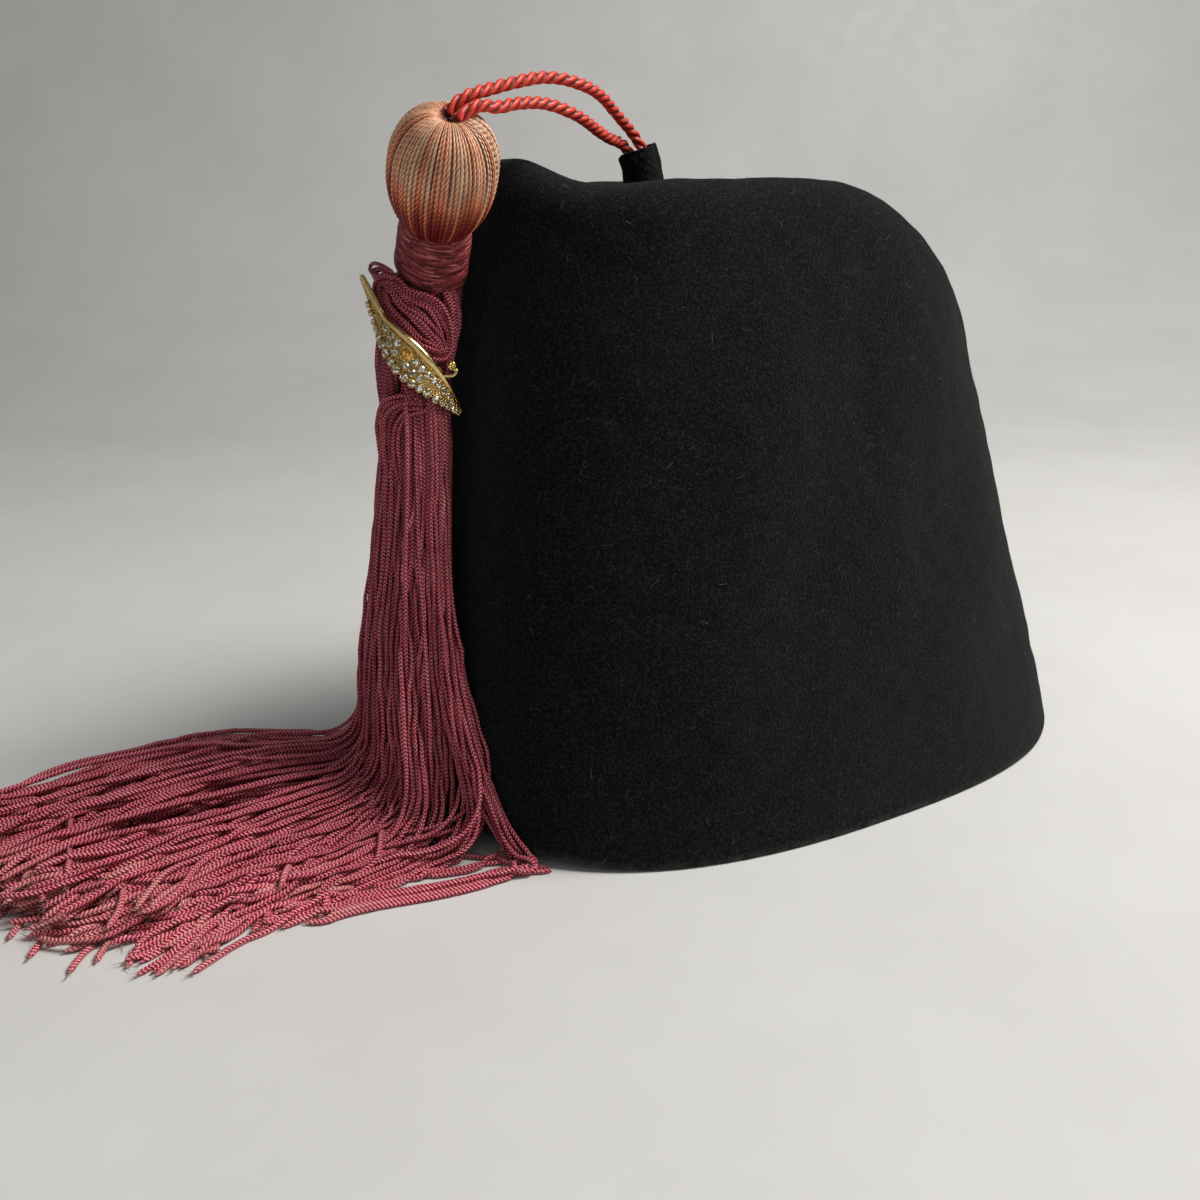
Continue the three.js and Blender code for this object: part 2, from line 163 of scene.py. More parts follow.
class Gather:
    """Collects several small shapes into one mesh."""

    def __init__(self):
        self.points, self.faces, self.floats, self.uvs, self.n = [], [], {}, {}, 0

    def add(self, points, faces, floats=None, uvs=None):
        points = np.asarray(points, float)
        self.points.append(points)
        self.faces.extend((np.asarray(faces) + self.n).tolist())
        for key, value in (floats or {}).items():
            self.floats.setdefault(key, []).append(np.broadcast_to(np.asarray(value, float), len(points)))
        for key, value in (uvs or {}).items():
            self.uvs.setdefault(key, []).append(np.asarray(value))
        self.n += len(points)

    def mesh(self, name, material, slot, **more):
        return add_mesh(
            name, np.concatenate(self.points), self.faces, material, slot,
            {k: np.concatenate(v) for k, v in self.floats.items()},
            {k: np.concatenate(v) for k, v in self.uvs.items()}, **more)


def frames_along(path, start=(0.0, 0.0, 1.0)):
    """Tangents and twist-free cross directions of one path, or of many of equal count."""
    p = np.asarray(path, float)
    t = unit(np.gradient(p, axis=-2))
    n = np.empty_like(t)
    ref = np.broadcast_to(np.asarray(start, float), t[..., 0, :].shape)
    side = np.cross(ref, t[..., 0, :])
    weak = np.linalg.norm(side, axis=-1, keepdims=True) < 0.2
    side = np.where(weak, np.cross(np.array([0.31, 0.95, 0.1]), t[..., 0, :]), side)
    n[..., 0, :] = unit(side)
    for k in range(1, p.shape[-2]):
        a = n[..., k - 1, :]
        n[..., k, :] = unit(a - (a * t[..., k, :]).sum(-1, keepdims=True) * t[..., k, :])
    return t, n, np.cross(t, n)


# ---------------------------------------------------------------- materials


class Graph:
    """A procedural material on one principled shader."""

    def __init__(self, name):
        self.material = bpy.data.materials.new(name)
        self.material.use_nodes = True
        self.tree = self.material.node_tree
        self.tree.nodes.clear()
        self.bsdf = self.node("ShaderNodeBsdfPrincipled")
        out = self.node("ShaderNodeOutputMaterial")
        self.tree.links.new(self.bsdf.outputs[0], out.inputs[0])

    def node(self, kind, inputs=None, **settings):
        n = self.tree.nodes.new(kind)
        for key, value in settings.items():
            setattr(n, key, value)
        for key, value in (inputs or {}).items():
            self.put(n.inputs[key], value)
        return n

    def put(self, socket, value):
        if isinstance(value, bpy.types.NodeSocket):
            self.tree.links.new(value, socket)
        else:
            socket.default_value = value

    def shade(self, **inputs):
        for key, value in inputs.items():
            self.put(self.bsdf.inputs[key.replace("_", " ")], value)

    def place(self):
        return self.node("ShaderNodeTexCoord").outputs["Object"]

    def uv(self, name):
        return self.node("ShaderNodeUVMap", uv_map=name).outputs[0]

    def attribute(self, name):
        return self.node("ShaderNodeAttribute", attribute_name=name).outputs["Fac"]

    def split(self, vector):
        return self.node("ShaderNodeSeparateXYZ", {0: vector}).outputs

    def math(self, operation, a, b=0.0, c=0.0):
        return self.node("ShaderNodeMath", {0: a, 1: b, 2: c}, operation=operation).outputs[0]

    def noise(self, vector, scale, detail=2.0, rough=0.5):
        return self.node("ShaderNodeTexNoise", {"Vector": vector, "Scale": scale, "Detail": detail, "Roughness": rough}).outputs[0]

    def stretched(self, vector, scale):
        return self.node("ShaderNodeMapping", {"Vector": vector, "Scale": scale}).outputs[0]

    def between(self, value, low, high, to_low=0.0, to_high=1.0):
        return self.node("ShaderNodeMapRange", {0: value, 1: low, 2: high, 3: to_low, 4: to_high}).outputs[0]

    def mix(self, share, a, b, blend="MIX"):
        n = self.node("ShaderNodeMix", data_type="RGBA", blend_type=blend)
        self.put(n.inputs[0], share)
        self.put(n.inputs[6], a)
        self.put(n.inputs[7], b)
        return n.outputs[2]

    def bump(self, height, distance, strength=1.0):
        n = self.node("ShaderNodeBump", {"Strength": strength, "Distance": distance, "Height": height})
        self.put(self.bsdf.inputs["Normal"], n.outputs[0])


def rgb(r, g, b):
    return (r, g, b, 1.0)


def felt_material():
    g = Graph("black_felt")
    at = g.place()
    broad = g.noise(at, 11.0, 2.0, 0.5)
    mottle = g.noise(at, 190.0, 4.0, 0.65)
    nap = g.noise(at, 1500.0, 4.0, 0.75)
    fibre = g.noise(at, 2600.0, 2.0, 0.6)
    base = g.mix(g.between(broad, 0.3, 0.7), rgb(0.0020, 0.0027, 0.0032), rgb(0.0032, 0.0040, 0.0045))
    base = g.mix(g.between(mottle, 0.42, 0.72, 0.0, 0.35), base, rgb(0.0075, 0.0082, 0.0086))
    base = g.mix(g.between(nap, 0.48, 0.68), base, rgb(0.0235, 0.0242, 0.0240))
    worn = g.math("MULTIPLY", g.attribute("worn"), g.between(g.noise(at, 420.0, 3.0, 0.7), 0.34, 0.62))
    base = g.mix(worn, base, rgb(0.062, 0.058, 0.052))
    g.shade(Base_Color=base, Roughness=0.97, Sheen_Weight=0.065, Sheen_Roughness=0.4, Specular_IOR_Level=0.06)
    g.bsdf.inputs["Sheen Tint"].default_value = rgb(0.80, 0.84, 0.86)
    height = g.math("ADD", g.math("MULTIPLY", nap, 0.6), g.math("MULTIPLY", fibre, 0.4))
    g.bump(height, 0.0009, 0.9)
    return g.material


def nap_material():
    g = Graph("felt_nap")
    tone = g.attribute("tone")
    base = g.mix(tone, rgb(0.004, 0.005, 0.0056), rgb(0.19, 0.185, 0.175))
    base = g.mix(g.between(g.noise(g.place(), 300.0), 0.3, 0.7, 0.0, 0.4), base, rgb(0.012, 0.013, 0.014))
    g.shade(Base_Color=base, Roughness=0.9, Specular_IOR_Level=0.15, Sheen_Weight=0.1)
    return g.material


def cord_material():
    """Silky twisted cord: tone paints shade dark in the grooves, filaments run along each ply."""
    g = Graph("red_cord")
    at = g.place()
    streak = g.noise(g.stretched(g.uv("strand_uv"), (9.0, 0.9, 1.0)), 1.0, 3.0, 0.6)
    base = g.mix(g.between(streak, 0.3, 0.7), rgb(0.50, 0.022, 0.011), rgb(0.80, 0.075, 0.040))
    # Fine speckles of light orange: painted glints.
    base = g.mix(g.between(g.noise(at, 1500.0, 2.0), 0.55, 0.8, 0.0, 0.5), base, rgb(0.90, 0.20, 0.12))
    # Tone darkens the grooves between the plies: painted shade.
    base = g.mix(g.attribute("tone"), base, rgb(0.10, 0.003, 0.003))
    g.shade(Base_Color=base, Roughness=0.4, Specular_IOR_Level=0.35)
    g.bump(streak, 0.0001, 0.6)
    return g.material


def chain_material(name, low, mid, high, fade, gloss=0.42, pitch=0.95, dark=0.5):
    """Knitted chain: strand_uv runs round the strand and, in millimetres, along it; the stitches form rows of V,
    painted dark in their hollows as shade and light on their crowns as highlight.
    """
    g = Graph(name)
    at = g.place()
    u, v, _ = g.split(g.uv("strand_uv"))
    column = g.math("ABSOLUTE", g.math("SUBTRACT", g.math("FRACT", g.math("MULTIPLY", u, 2.0)), 0.5))
    phase = g.math("ADD", g.math("MULTIPLY", v, 1.0 / pitch), g.math("MULTIPLY", column, 1.6))
    stitch = g.math("ADD", g.math("MULTIPLY", g.math("SINE", g.math("MULTIPLY", phase, 2 * math.pi)), 0.5), 0.5)
    # seam lowers the height along the line between the two stitch columns, which darkens it as painted shade.
    seam = g.between(g.math("ABSOLUTE", g.math("SUBTRACT", column, 0.25)), 0.15, 0.25)
    height = g.math("SUBTRACT", stitch, g.math("MULTIPLY", seam, 0.35))
    glint_speckle = g.noise(at, 900.0, 3.0, 0.65)
    patch = g.noise(at, 70.0, 3.0, 0.55)
    # Low height takes the low colour: painted shade in the stitch hollows.
    base = g.mix(g.between(height, -0.04, 0.42), low, mid)
    # lit lays the high colour on the stitch crowns as a painted highlight.
    lit = g.math("MULTIPLY", g.between(height, 0.42, 0.88, 0.0, 1.0), g.between(g.noise(at, 420.0, 2.0), 0.34, 0.62, 0.5, 1.0))
    base = g.mix(lit, base, high)
    # Random speckles of the high colour: painted glints.
    base = g.mix(g.between(glint_speckle, 0.52, 0.78, 0.0, 0.35), base, high)
    base = g.mix(g.between(patch, 0.42, 0.72, 0.0, 0.25), base, low)
    # tone darkens whole strands at random, and the hanging parts of the fanned strands as painted shade.
    base = g.mix(g.math("MULTIPLY", g.attribute("tone"), dark), base, low)
    base = g.mix(g.math("MULTIPLY", g.attribute("fade"), g.between(height, 0.0, 0.5, 0.6, 1.0)), base, fade)
    g.shade(Base_Color=base, Roughness=gloss, Specular_IOR_Level=0.3)
    fine = g.noise(at, 3200.0, 2.0, 0.6)
    g.bump(g.math("ADD", height, g.math("MULTIPLY", fine, 0.2)), 0.00030, 1.0)
    return g.material


def ridge_material(name, low, mid, high, crease_shade_colour, gloss=0.45):
    """Laid thread whose ridges are in the mesh: tone 0 to 1 across the colours, where low tone carries painted shade
    and high tone painted highlight as well as the thread's own tone; the creases are painted dark as shade.
    """
    g = Graph(name)
    at = g.place()
    tone, crease = g.attribute("tone"), g.attribute("crease")
    base = g.mix(g.between(tone, 0.0, 0.5), low, mid)
    base = g.mix(g.between(tone, 0.5, 1.0), base, high)
    glint_speckle = g.noise(at, 1100.0, 3.0, 0.6)
    # Random speckles of the high colour, stronger where tone is high: painted glints.
    base = g.mix(g.math("MULTIPLY", g.between(glint_speckle, 0.5, 0.8, 0.0, 0.6), tone), base, high)
    base = g.mix(g.between(g.noise(at, 190.0, 3.0, 0.6), 0.42, 0.7, 0.0, 0.4), base, low)
    # The creases take the crease colour: painted shade between the threads.
    base = g.mix(g.between(crease, 0.22, 0.88, 0.96, 0.0), base, crease_shade_colour)
    g.shade(Base_Color=base, Roughness=gloss, Specular_IOR_Level=0.25)
    g.bump(g.noise(at, 3000.0, 2.0, 0.6), 0.00012, 0.7)
    return g.material


def metal_material():
    g = Graph("gilt")
    at = g.place()
    worn = g.noise(at, 700.0, 4.0, 0.6)
    base = g.mix(g.between(worn, 0.35, 0.7), rgb(0.66, 0.44, 0.14), rgb(0.82, 0.66, 0.34))
    grime = g.attribute("grime")
    base = g.mix(g.math("MULTIPLY", grime, g.between(g.noise(at, 1500.0, 2.0), 0.3, 0.6, 0.5, 1.0)), base, rgb(0.22, 0.12, 0.03))
    g.shade(Base_Color=base, Metallic=1.0, Roughness=g.between(worn, 0.3, 0.75, 0.12, 0.30))
    g.bump(g.noise(at, 2200.0, 3.0), 0.00006, 0.6)
    return g.material


def stone_material(name, colour, light):
    g = Graph(name)
    at = g.place()
    # The stone colour switches in small spots between colour and light: painted reflections of dark and bright facets,
    # over the stone's own tint.
    tint_and_reflection = g.mix(g.between(g.noise(at, 1500.0, 1.0), 0.46, 0.58), colour, light)
    g.shade(Base_Color=tint_and_reflection, Roughness=g.between(g.noise(at, 1400.0, 2.0), 0.3, 0.7, 0.03, 0.09), Metallic=0.8, IOR=1.75, Specular_IOR_Level=0.9)
    return g.material


def floor_material():
    g = Graph("pale_table")
    at = g.place()
    base = g.mix(g.between(g.noise(at, 9.0, 4.0, 0.6), 0.35, 0.65), rgb(0.565, 0.555, 0.535), rgb(0.600, 0.591, 0.572))
    g.shade(Base_Color=base, Roughness=g.between(g.noise(at, 60.0, 3.0), 0.3, 0.7, 0.42, 0.55), Specular_IOR_Level=0.3)
    g.bump(g.noise(at, 900.0, 2.0), 0.00004, 0.3)
    return g.material


FELT = felt_material()
NAP = nap_material()
CORD = cord_material()
HEAD_THREAD = ridge_material(
    "head_thread", rgb(0.19, 0.008, 0.011), rgb(1.0, 0.270, 0.112), rgb(1.0, 0.66, 0.41), rgb(0.050, 0.003, 0.003), 0.4)
NECK_THREAD = ridge_material(
    "neck_thread", rgb(0.08, 0.006, 0.008), rgb(0.33, 0.042, 0.050), rgb(0.85, 0.26, 0.26), rgb(0.014, 0.001, 0.001), 0.34)
CHAINETTE = chain_material(
    "chainette", rgb(0.10, 0.002, 0.007), rgb(0.84, 0.068, 0.120), rgb(1.0, 0.41, 0.47), rgb(0.95, 0.52, 0.42), 0.4)
RUFF_THREAD = chain_material(
    "ruff_chainette", rgb(0.075, 0.002, 0.007), rgb(0.66, 0.052, 0.098), rgb(1.0, 0.33, 0.38), rgb(0.72, 0.30, 0.21), 0.36, 0.85)
GILT = metal_material()
CLEAR = stone_material("clear_stone", rgb(0.24, 0.21, 0.13), rgb(1.0, 0.99, 0.93))
TOPAZ = stone_material("topaz_stone", rgb(0.40, 0.16, 0.01), rgb(1.0, 0.66, 0.16))
FLOOR = floor_material()

# ---------------------------------------------------------------- cord

CORD_DIAMETER = 2.9
CORD_PLIES = 3
CORD_LAY = 10.2
CORD_SIDES = 42
CORD_ROUTE_UPPER = [
    (-28.2, 12.9, 163.6), (-29.4, 13.5, 167.2), (-31.8, 14.0, 170.6), (-40.4, 8.7, 174.7), (-50.2, 1.8, 178.6),
    (-61.2, -4.4, 180.4), (-70.4, -6.4, 180.8), (-79.8, -9.1, 179.0), (-87.2, -10.8, 177.1), (-92.3, -13.0, 175.8),
    (-96.3, -12.8, 173.9), (-98.9, -12.6, 171.4),
]
CORD_ROUTE_LOWER = [
    (-31.3, 14.9, 163.6), (-32.6, 15.5, 167.2), (-35.4, 14.9, 168.7), (-41.9, 9.9, 169.2), (-49.3, 4.5, 170.8),
    (-59.4, -2.8, 173.2), (-71.2, -7.8, 175.1), (-81.8, -12.0, 174.3), (-87.9, -14.4, 173.0), (-91.2, -15.7, 173.6),
    (-95.1, -16.3, 172.3), (-98.0, -15.9, 169.9),
]


def twisted_cord(name, route, node, seed):
    path = spline(route, 0.25)
    soft = np.exp(-(np.arange(-20, 21) / 8.0) ** 2 / 2)
    wide = np.concatenate([2 * path[0] - path[20:0:-1], path, 2 * path[-1] - path[-2:-22:-1]])
    path = np.stack([np.convolve(wide[:, k], soft / soft.sum(), "valid") for k in range(3)], -1)
    t, n, b = frames_along(path)
    s = np.linspace(0, length_of(path), len(path))
    ply = 2 * math.pi / CORD_PLIES
    ring = CORD_DIAMETER / 2 * math.sin(ply / 2) / (1 + math.sin(ply / 2)) * 1.10
    centre = CORD_DIAMETER / 2 - ring
    angle = np.arange(CORD_SIDES) * 2 * math.pi / CORD_SIDES
    local = (angle[None, :] + s[:, None] * 2 * math.pi / CORD_LAY + seed) % ply - ply / 2
    reach = np.sqrt(np.maximum(ring ** 2 - (centre * np.sin(local)) ** 2, 0.02))
    radius = centre * np.cos(local) + reach
    radius *= 1 + 0.02 * Waves(seed, 2, 12)(path)[:, None]
    ends = np.minimum(1, np.minimum(s, s[-1] - s)[:, None] / 0.4 + 0.05)
    radius = radius * ends
    ring_points = (path[:, None] + radius[..., None] * (
        n[:, None] * np.cos(angle)[None, :, None] + b[:, None] * np.sin(angle)[None, :, None]))
    edges = np.arange(CORD_SIDES + 1) / CORD_SIDES
    # depth is low in the grooves between plies; the tone made from it paints shade there.
    depth = (radius / (CORD_DIAMETER / 2)).clip(0, 1)
    obj = add_mesh(
        name, ring_points.reshape(-1, 3), grid_faces(len(path), CORD_SIDES), CORD, "cord",
        {"tone": (1 - smooth(depth, 0.6, 0.93)).ravel()},
        {"strand_uv": grid_uv(edges * CORD_PLIES, s), "OFBake": grid_uv(edges, s / s[-1])}, stands_for=(node,))
    return obj


twisted_cord("cord_upper", CORD_ROUTE_UPPER, "cord_leg_upper", 1)
twisted_cord("cord_lower", CORD_ROUTE_LOWER, "cord_leg_lower", 2)

# ---------------------------------------------------------------- felt crown

FELT_WALL = 2.4
RIM_HALF_LENGTH, RIM_HALF_WIDTH = 103.3, 66.2
OVAL_POWER = 2.53
TOP_HALF_LENGTH, TOP_HALF_WIDTH = 68.3, 40.4
TOP_MIDDLE = np.array([-11.8, 7.7])
CROWN_HEIGHT = 157.9
SHOULDER_BACK, SHOULDER_FRONT, SHOULDER_SIDE = 8.9, 76.2, 13.1
TOP_EDGE_TILT, TOP_EDGE_SAG = 0.9, -1.8
BACK_PEAK, BACK_PEAK_POWER = 7.4, 8
RIM_LIFT, RIM_LIFT_FROM = 5.2, 0.5
DISH_DEPTH = 4.6
PAD_HEIGHT = CROWN_HEIGHT - DISH_DEPTH + 2.4
STEM_AT = np.array([-29.0, 13.4])
STEM_PAD_RADIUS = 8.0


def oval(a, half_length, half_width):
    p = 2 / OVAL_POWER
    c, s = np.cos(a), np.sin(a)
    return np.stack([half_length * np.sign(c) * np.abs(c) ** p, half_width * np.sign(s) * np.abs(s) ** p], -1)


def rim_height(a):
    over = np.maximum(0, (np.abs(np.cos(a)) - RIM_LIFT_FROM) / (1 - RIM_LIFT_FROM))
    return RIM_LIFT * over * over


def top_edge(a):
    c = np.cos(a)
    return CROWN_HEIGHT + TOP_EDGE_TILT * c + TOP_EDGE_SAG * np.cos(2 * a) + BACK_PEAK * np.maximum(0, -c) ** BACK_PEAK_POWER


def shoulder(a):
    c = np.cos(a)
    return SHOULDER_SIDE + (np.where(c > 0, SHOULDER_FRONT, SHOULDER_BACK) - SHOULDER_SIDE) * c * c


def wall_point(a, z):
    share = (np.asarray(z) / CROWN_HEIGHT)[..., None]
    rim = oval(a, RIM_HALF_LENGTH, RIM_HALF_WIDTH)
    top = oval(a, TOP_HALF_LENGTH, TOP_HALF_WIDTH) + TOP_MIDDLE
    return rim + (top - rim) * share


def wall_lean(a):
    z = top_edge(a) - 0.7 * shoulder(a)
    inward = np.linalg.norm(wall_point(a, z) - TOP_MIDDLE, axis=-1) - np.linalg.norm(wall_point(a, z + 1) - TOP_MIDDLE, axis=-1)
    return np.arctan(np.maximum(0, inward))


def crown_row(a, part, step):
    r, lean, z_top = shoulder(a), wall_lean(a), top_edge(a)
    z_wall = z_top - r * (1 - np.sin(lean))
    if part == "edge":
        inset, lift = step
        z = rim_height(a) + lift
        p = wall_point(a, z)
        out = unit(np.stack([p[:, 0] / RIM_HALF_LENGTH ** 2, p[:, 1] / RIM_HALF_WIDTH ** 2], -1))
        return np.concatenate([p - out * inset, z[:, None]], -1)
    if part == "wall":
        low = rim_height(a) + 0.9
        z = low + (z_wall - low) * step
        return np.concatenate([wall_point(a, z), z[:, None]], -1)
    start = wall_point(a, z_wall)
    reach = np.linalg.norm(start - TOP_MIDDLE, axis=-1)

    def round_to(k):
        turn = lean + (math.pi / 2 - lean) * k
        share = 1 - r * (np.cos(lean) - np.cos(turn)) / reach
        p = TOP_MIDDLE + (start - TOP_MIDDLE) * share[:, None]
        return np.concatenate([p, (z_wall + r * (np.sin(turn) - np.sin(lean)))[:, None]], -1)

    if part == "shoulder":
        return round_to(step)
    edge = round_to(1.0)
    pad = np.stack([STEM_AT[0] + STEM_PAD_RADIUS * np.cos(a), STEM_AT[1] + STEM_PAD_RADIUS * np.sin(a),
                    np.full_like(a, PAD_HEIGHT)], -1)
    if part == "top":
        p = edge + (pad - edge) * step
        p[:, 2] = edge[:, 2] + (PAD_HEIGHT - edge[:, 2]) * step * step * (3 - 2 * step)
        return p
    middle = np.array([STEM_AT[0], STEM_AT[1], PAD_HEIGHT])
    return pad + (middle - pad) * step


def even_angles(count):
    """Angles that space the columns evenly round the rim."""
    a = np.linspace(0, 2 * math.pi, 4001)
    p = oval(a, RIM_HALF_LENGTH, RIM_HALF_WIDTH)
    s = np.concatenate([[0], np.cumsum(np.linalg.norm(np.diff(p, axis=0), axis=1))])
    return np.interp((np.arange(count) + 0.5) / count * s[-1], s, a)


def grid_normals(grid):
    """Outward directions of a closed grid of rows of points."""
    round_ = np.roll(grid, -1, 1) - np.roll(grid, 1, 1)
    up = np.gradient(grid, axis=0)
    return unit(np.cross(round_, up))


CROWN_COLUMNS = 320
CROWN_ANGLES = even_angles(CROWN_COLUMNS)
SOFT_DENTS = Waves(11, 38, 110, 30)
SMALL_DENTS = Waves(12, 7, 22, 40)


def crown_outside():
    levels = [("wall", k) for k in np.linspace(0, 1, 105)]
    levels += [("shoulder", k) for k in np.linspace(0, 1, 42)[1:]]
    levels += [("top", k) for k in np.linspace(0, 1, 34)[1:]]
    levels += [("pad", k) for k in (0.4, 0.8, 0.995)]
    grid = np.stack([crown_row(CROWN_ANGLES, part, step) for part, step in levels])
    out = grid_normals(grid)
    part = np.array([name for name, _ in levels])
    steps = np.array([step for _, step in levels])
    keep = np.where(part == "wall", smooth(steps, 0.0, 0.12), 1.0) * np.where(part == "pad", 0, 1)
    keep = keep * np.where(part == "top", 1 - smooth(steps, 0.6, 1.0), 1.0)
    dent = 0.55 * SOFT_DENTS(grid) + 0.10 * SMALL_DENTS(grid)
    grid = grid + out * (dent * keep[:, None])[..., None]
    peak = np.maximum(0, -np.cos(CROWN_ANGLES)) ** 14
    crest = np.where(part == "shoulder", smooth(steps, 0.0, 0.7), np.where(part == "top", 1 - smooth(steps, 0.0, 0.28), 0.0))
    grid[..., 2] += 2.0 * crest[:, None] * peak[None]
    return grid, grid_normals(grid), levels


CROWN, CROWN_OUT, CROWN_LEVELS = crown_outside()


def build_crown():
    edge = [(0.0, 0.9), (0.1, 0.5), (0.4, 0.16), (0.95, 0.0), (1.45, 0.0), (2.0, 0.16), (2.3, 0.5), (2.4, 0.9)]
    rim = np.stack([crown_row(CROWN_ANGLES, "edge", e) for e in edge])
    ragged = 0.16 * Waves(13, 2.5, 9, 40)(rim)
    rim[..., 2] += np.maximum(0, ragged) * np.array([0.4, 0.8, 1, 1, 1, 1, 0.8, 0.4])[:, None]
    pick = [0] + list(range(3, len(CROWN) - 1, 3)) + [len(CROWN) - 1]
    flat = CROWN_OUT.copy()
    blend = smooth(np.arange(len(CROWN)), 0, 12)[:, None]
    flat[..., 2] *= blend
    flat = unit(flat)
    inside = (CROWN - flat * FELT_WALL)[pick]
    rows = np.concatenate([inside[::-1], rim[::-1][1:-1], CROWN])
    count = len(rows)
    n_in, n_rim = len(inside), len(rim) - 2
    height = rows[..., 2] - rim_height(CROWN_ANGLES)[None]
    worn = np.where(np.arange(count)[:, None] >= n_in, 0.85 * (1 - smooth(height, 0.2, 1.9)), 0.25 * (1 - smooth(height, 0.3, 2.0)))
    faces = grid_faces(count, CROWN_COLUMNS).tolist()
    v = np.concatenate([np.linspace(0.0, 0.26, n_in), np.linspace(0.265, 0.28, n_rim), np.linspace(0.285, 1.0, len(CROWN))])
    u = np.arange(CROWN_COLUMNS + 1) / CROWN_COLUMNS
    return add_mesh("crown", rows.reshape(-1, 3), faces, FELT, "felt", {"worn": worn.ravel()},
                    {"OFBake": grid_uv(u, v)}, stands_for=("felt_crown",))


def build_nap():
    """Loose fibres that stand off the felt, with curled pale hairs and specks among them."""
    rng = np.random.default_rng(21)
    count, hairs, links = 40000, 1500, 4
    rows, cols = CROWN.shape[:2]
    area = np.linalg.norm(np.cross(np.roll(CROWN, -1, 1)[:-1] - CROWN[:-1], CROWN[1:] - CROWN[:-1]), axis=-1)

    def scatter(many):
        cell = rng.choice(area.size, many, p=(area / area.sum()).ravel())
        i, j = np.unravel_index(cell, area.shape)
        a, b = rng.random(many)[:, None], rng.random(many)[:, None]
        k = (j + 1) % cols
        root = (CROWN[i, j] * (1 - a) + CROWN[i, k] * a) * (1 - b) + (CROWN[i + 1, j] * (1 - a) + CROWN[i + 1, k] * a) * b
        out = CROWN_OUT[i, j]
        flow = unit(rng.normal(size=(many, 3)))
        return root, out, unit(flow - (flow * out).sum(1, keepdims=True) * out)

    root, out, flow = scatter(count)
    way = unit(flow + out * rng.uniform(0.1, 0.9, count)[:, None])
    side = unit(np.cross(out, way)) * 0.035
    root = root - out * 0.05
    points = np.stack([root - side, root + side, root + way * rng.uniform(0.4, 1.1, count)[:, None]], 1).reshape(-1, 3)
    tone = np.repeat(rng.uniform(0.0, 0.5, count) ** 2, 3)
    faces = np.arange(count * 3).reshape(-1, 3)

    root, out, flow = scatter(hairs)
    turn = rng.normal(0, 1.1, hairs)[:, None]
    size = (rng.uniform(0.25, 0.75, hairs) * np.where(rng.random(hairs) < 0.25, 0.3, 1.0))[:, None]
    thick = rng.uniform(0.03, 0.055, hairs)[:, None]
    strip, at, way = [], root + out * 0.12, flow
    for k in range(links + 1):
        cross = unit(np.cross(out, way))
        w = thick * (1 - 0.5 * k / links)
        strip += [at - cross * w, at + cross * w]
        way = unit(way + cross * turn * 0.45 + out * 0.06)
        at = at + way * size
    strip = np.stack(strip, 1)
    pale = np.repeat(rng.uniform(0.12, 0.95, hairs) ** 2, strip.shape[1])
    quad = np.array([[2 * k, 2 * k + 1, 2 * k + 3] for k in range(links)] + [[2 * k, 2 * k + 3, 2 * k + 2] for k in range(links)])
    more = (quad[None] + (np.arange(hairs) * strip.shape[1])[:, None, None] + len(points)).reshape(-1, 3)
    points = np.concatenate([points, strip.reshape(-1, 3)])
    tone = np.concatenate([tone, pale])
    faces = np.concatenate([faces, more])
    points[:, 2] = np.maximum(points[:, 2], 0.03)
    corner = faces.reshape(-1)
    first = faces[:, 0].repeat(3)
    uv = np.stack([0.05 + 0.9 * tone[first], np.full(len(corner), 0.5)], -1) + np.tile([[0, 0], [0.004, 0], [0, 0.004]], (len(faces), 1))
    return add_mesh("felt_nap", points, faces, NAP, "felt", {"tone": tone}, {"OFBake": uv}, flat=True)


build_crown()
build_nap()

# ---------------------------------------------------------------- felt stem

STEM_HEIGHT, STEM_RADIUS, STEM_BORE, STEM_FLOOR = 11.4, 5.2, 3.95, 2.0
STEM_LEAN = math.radians(21)
STEM_TOWARDS = np.array([-0.838, 0.546])
STEM_SEAM = math.radians(-58)


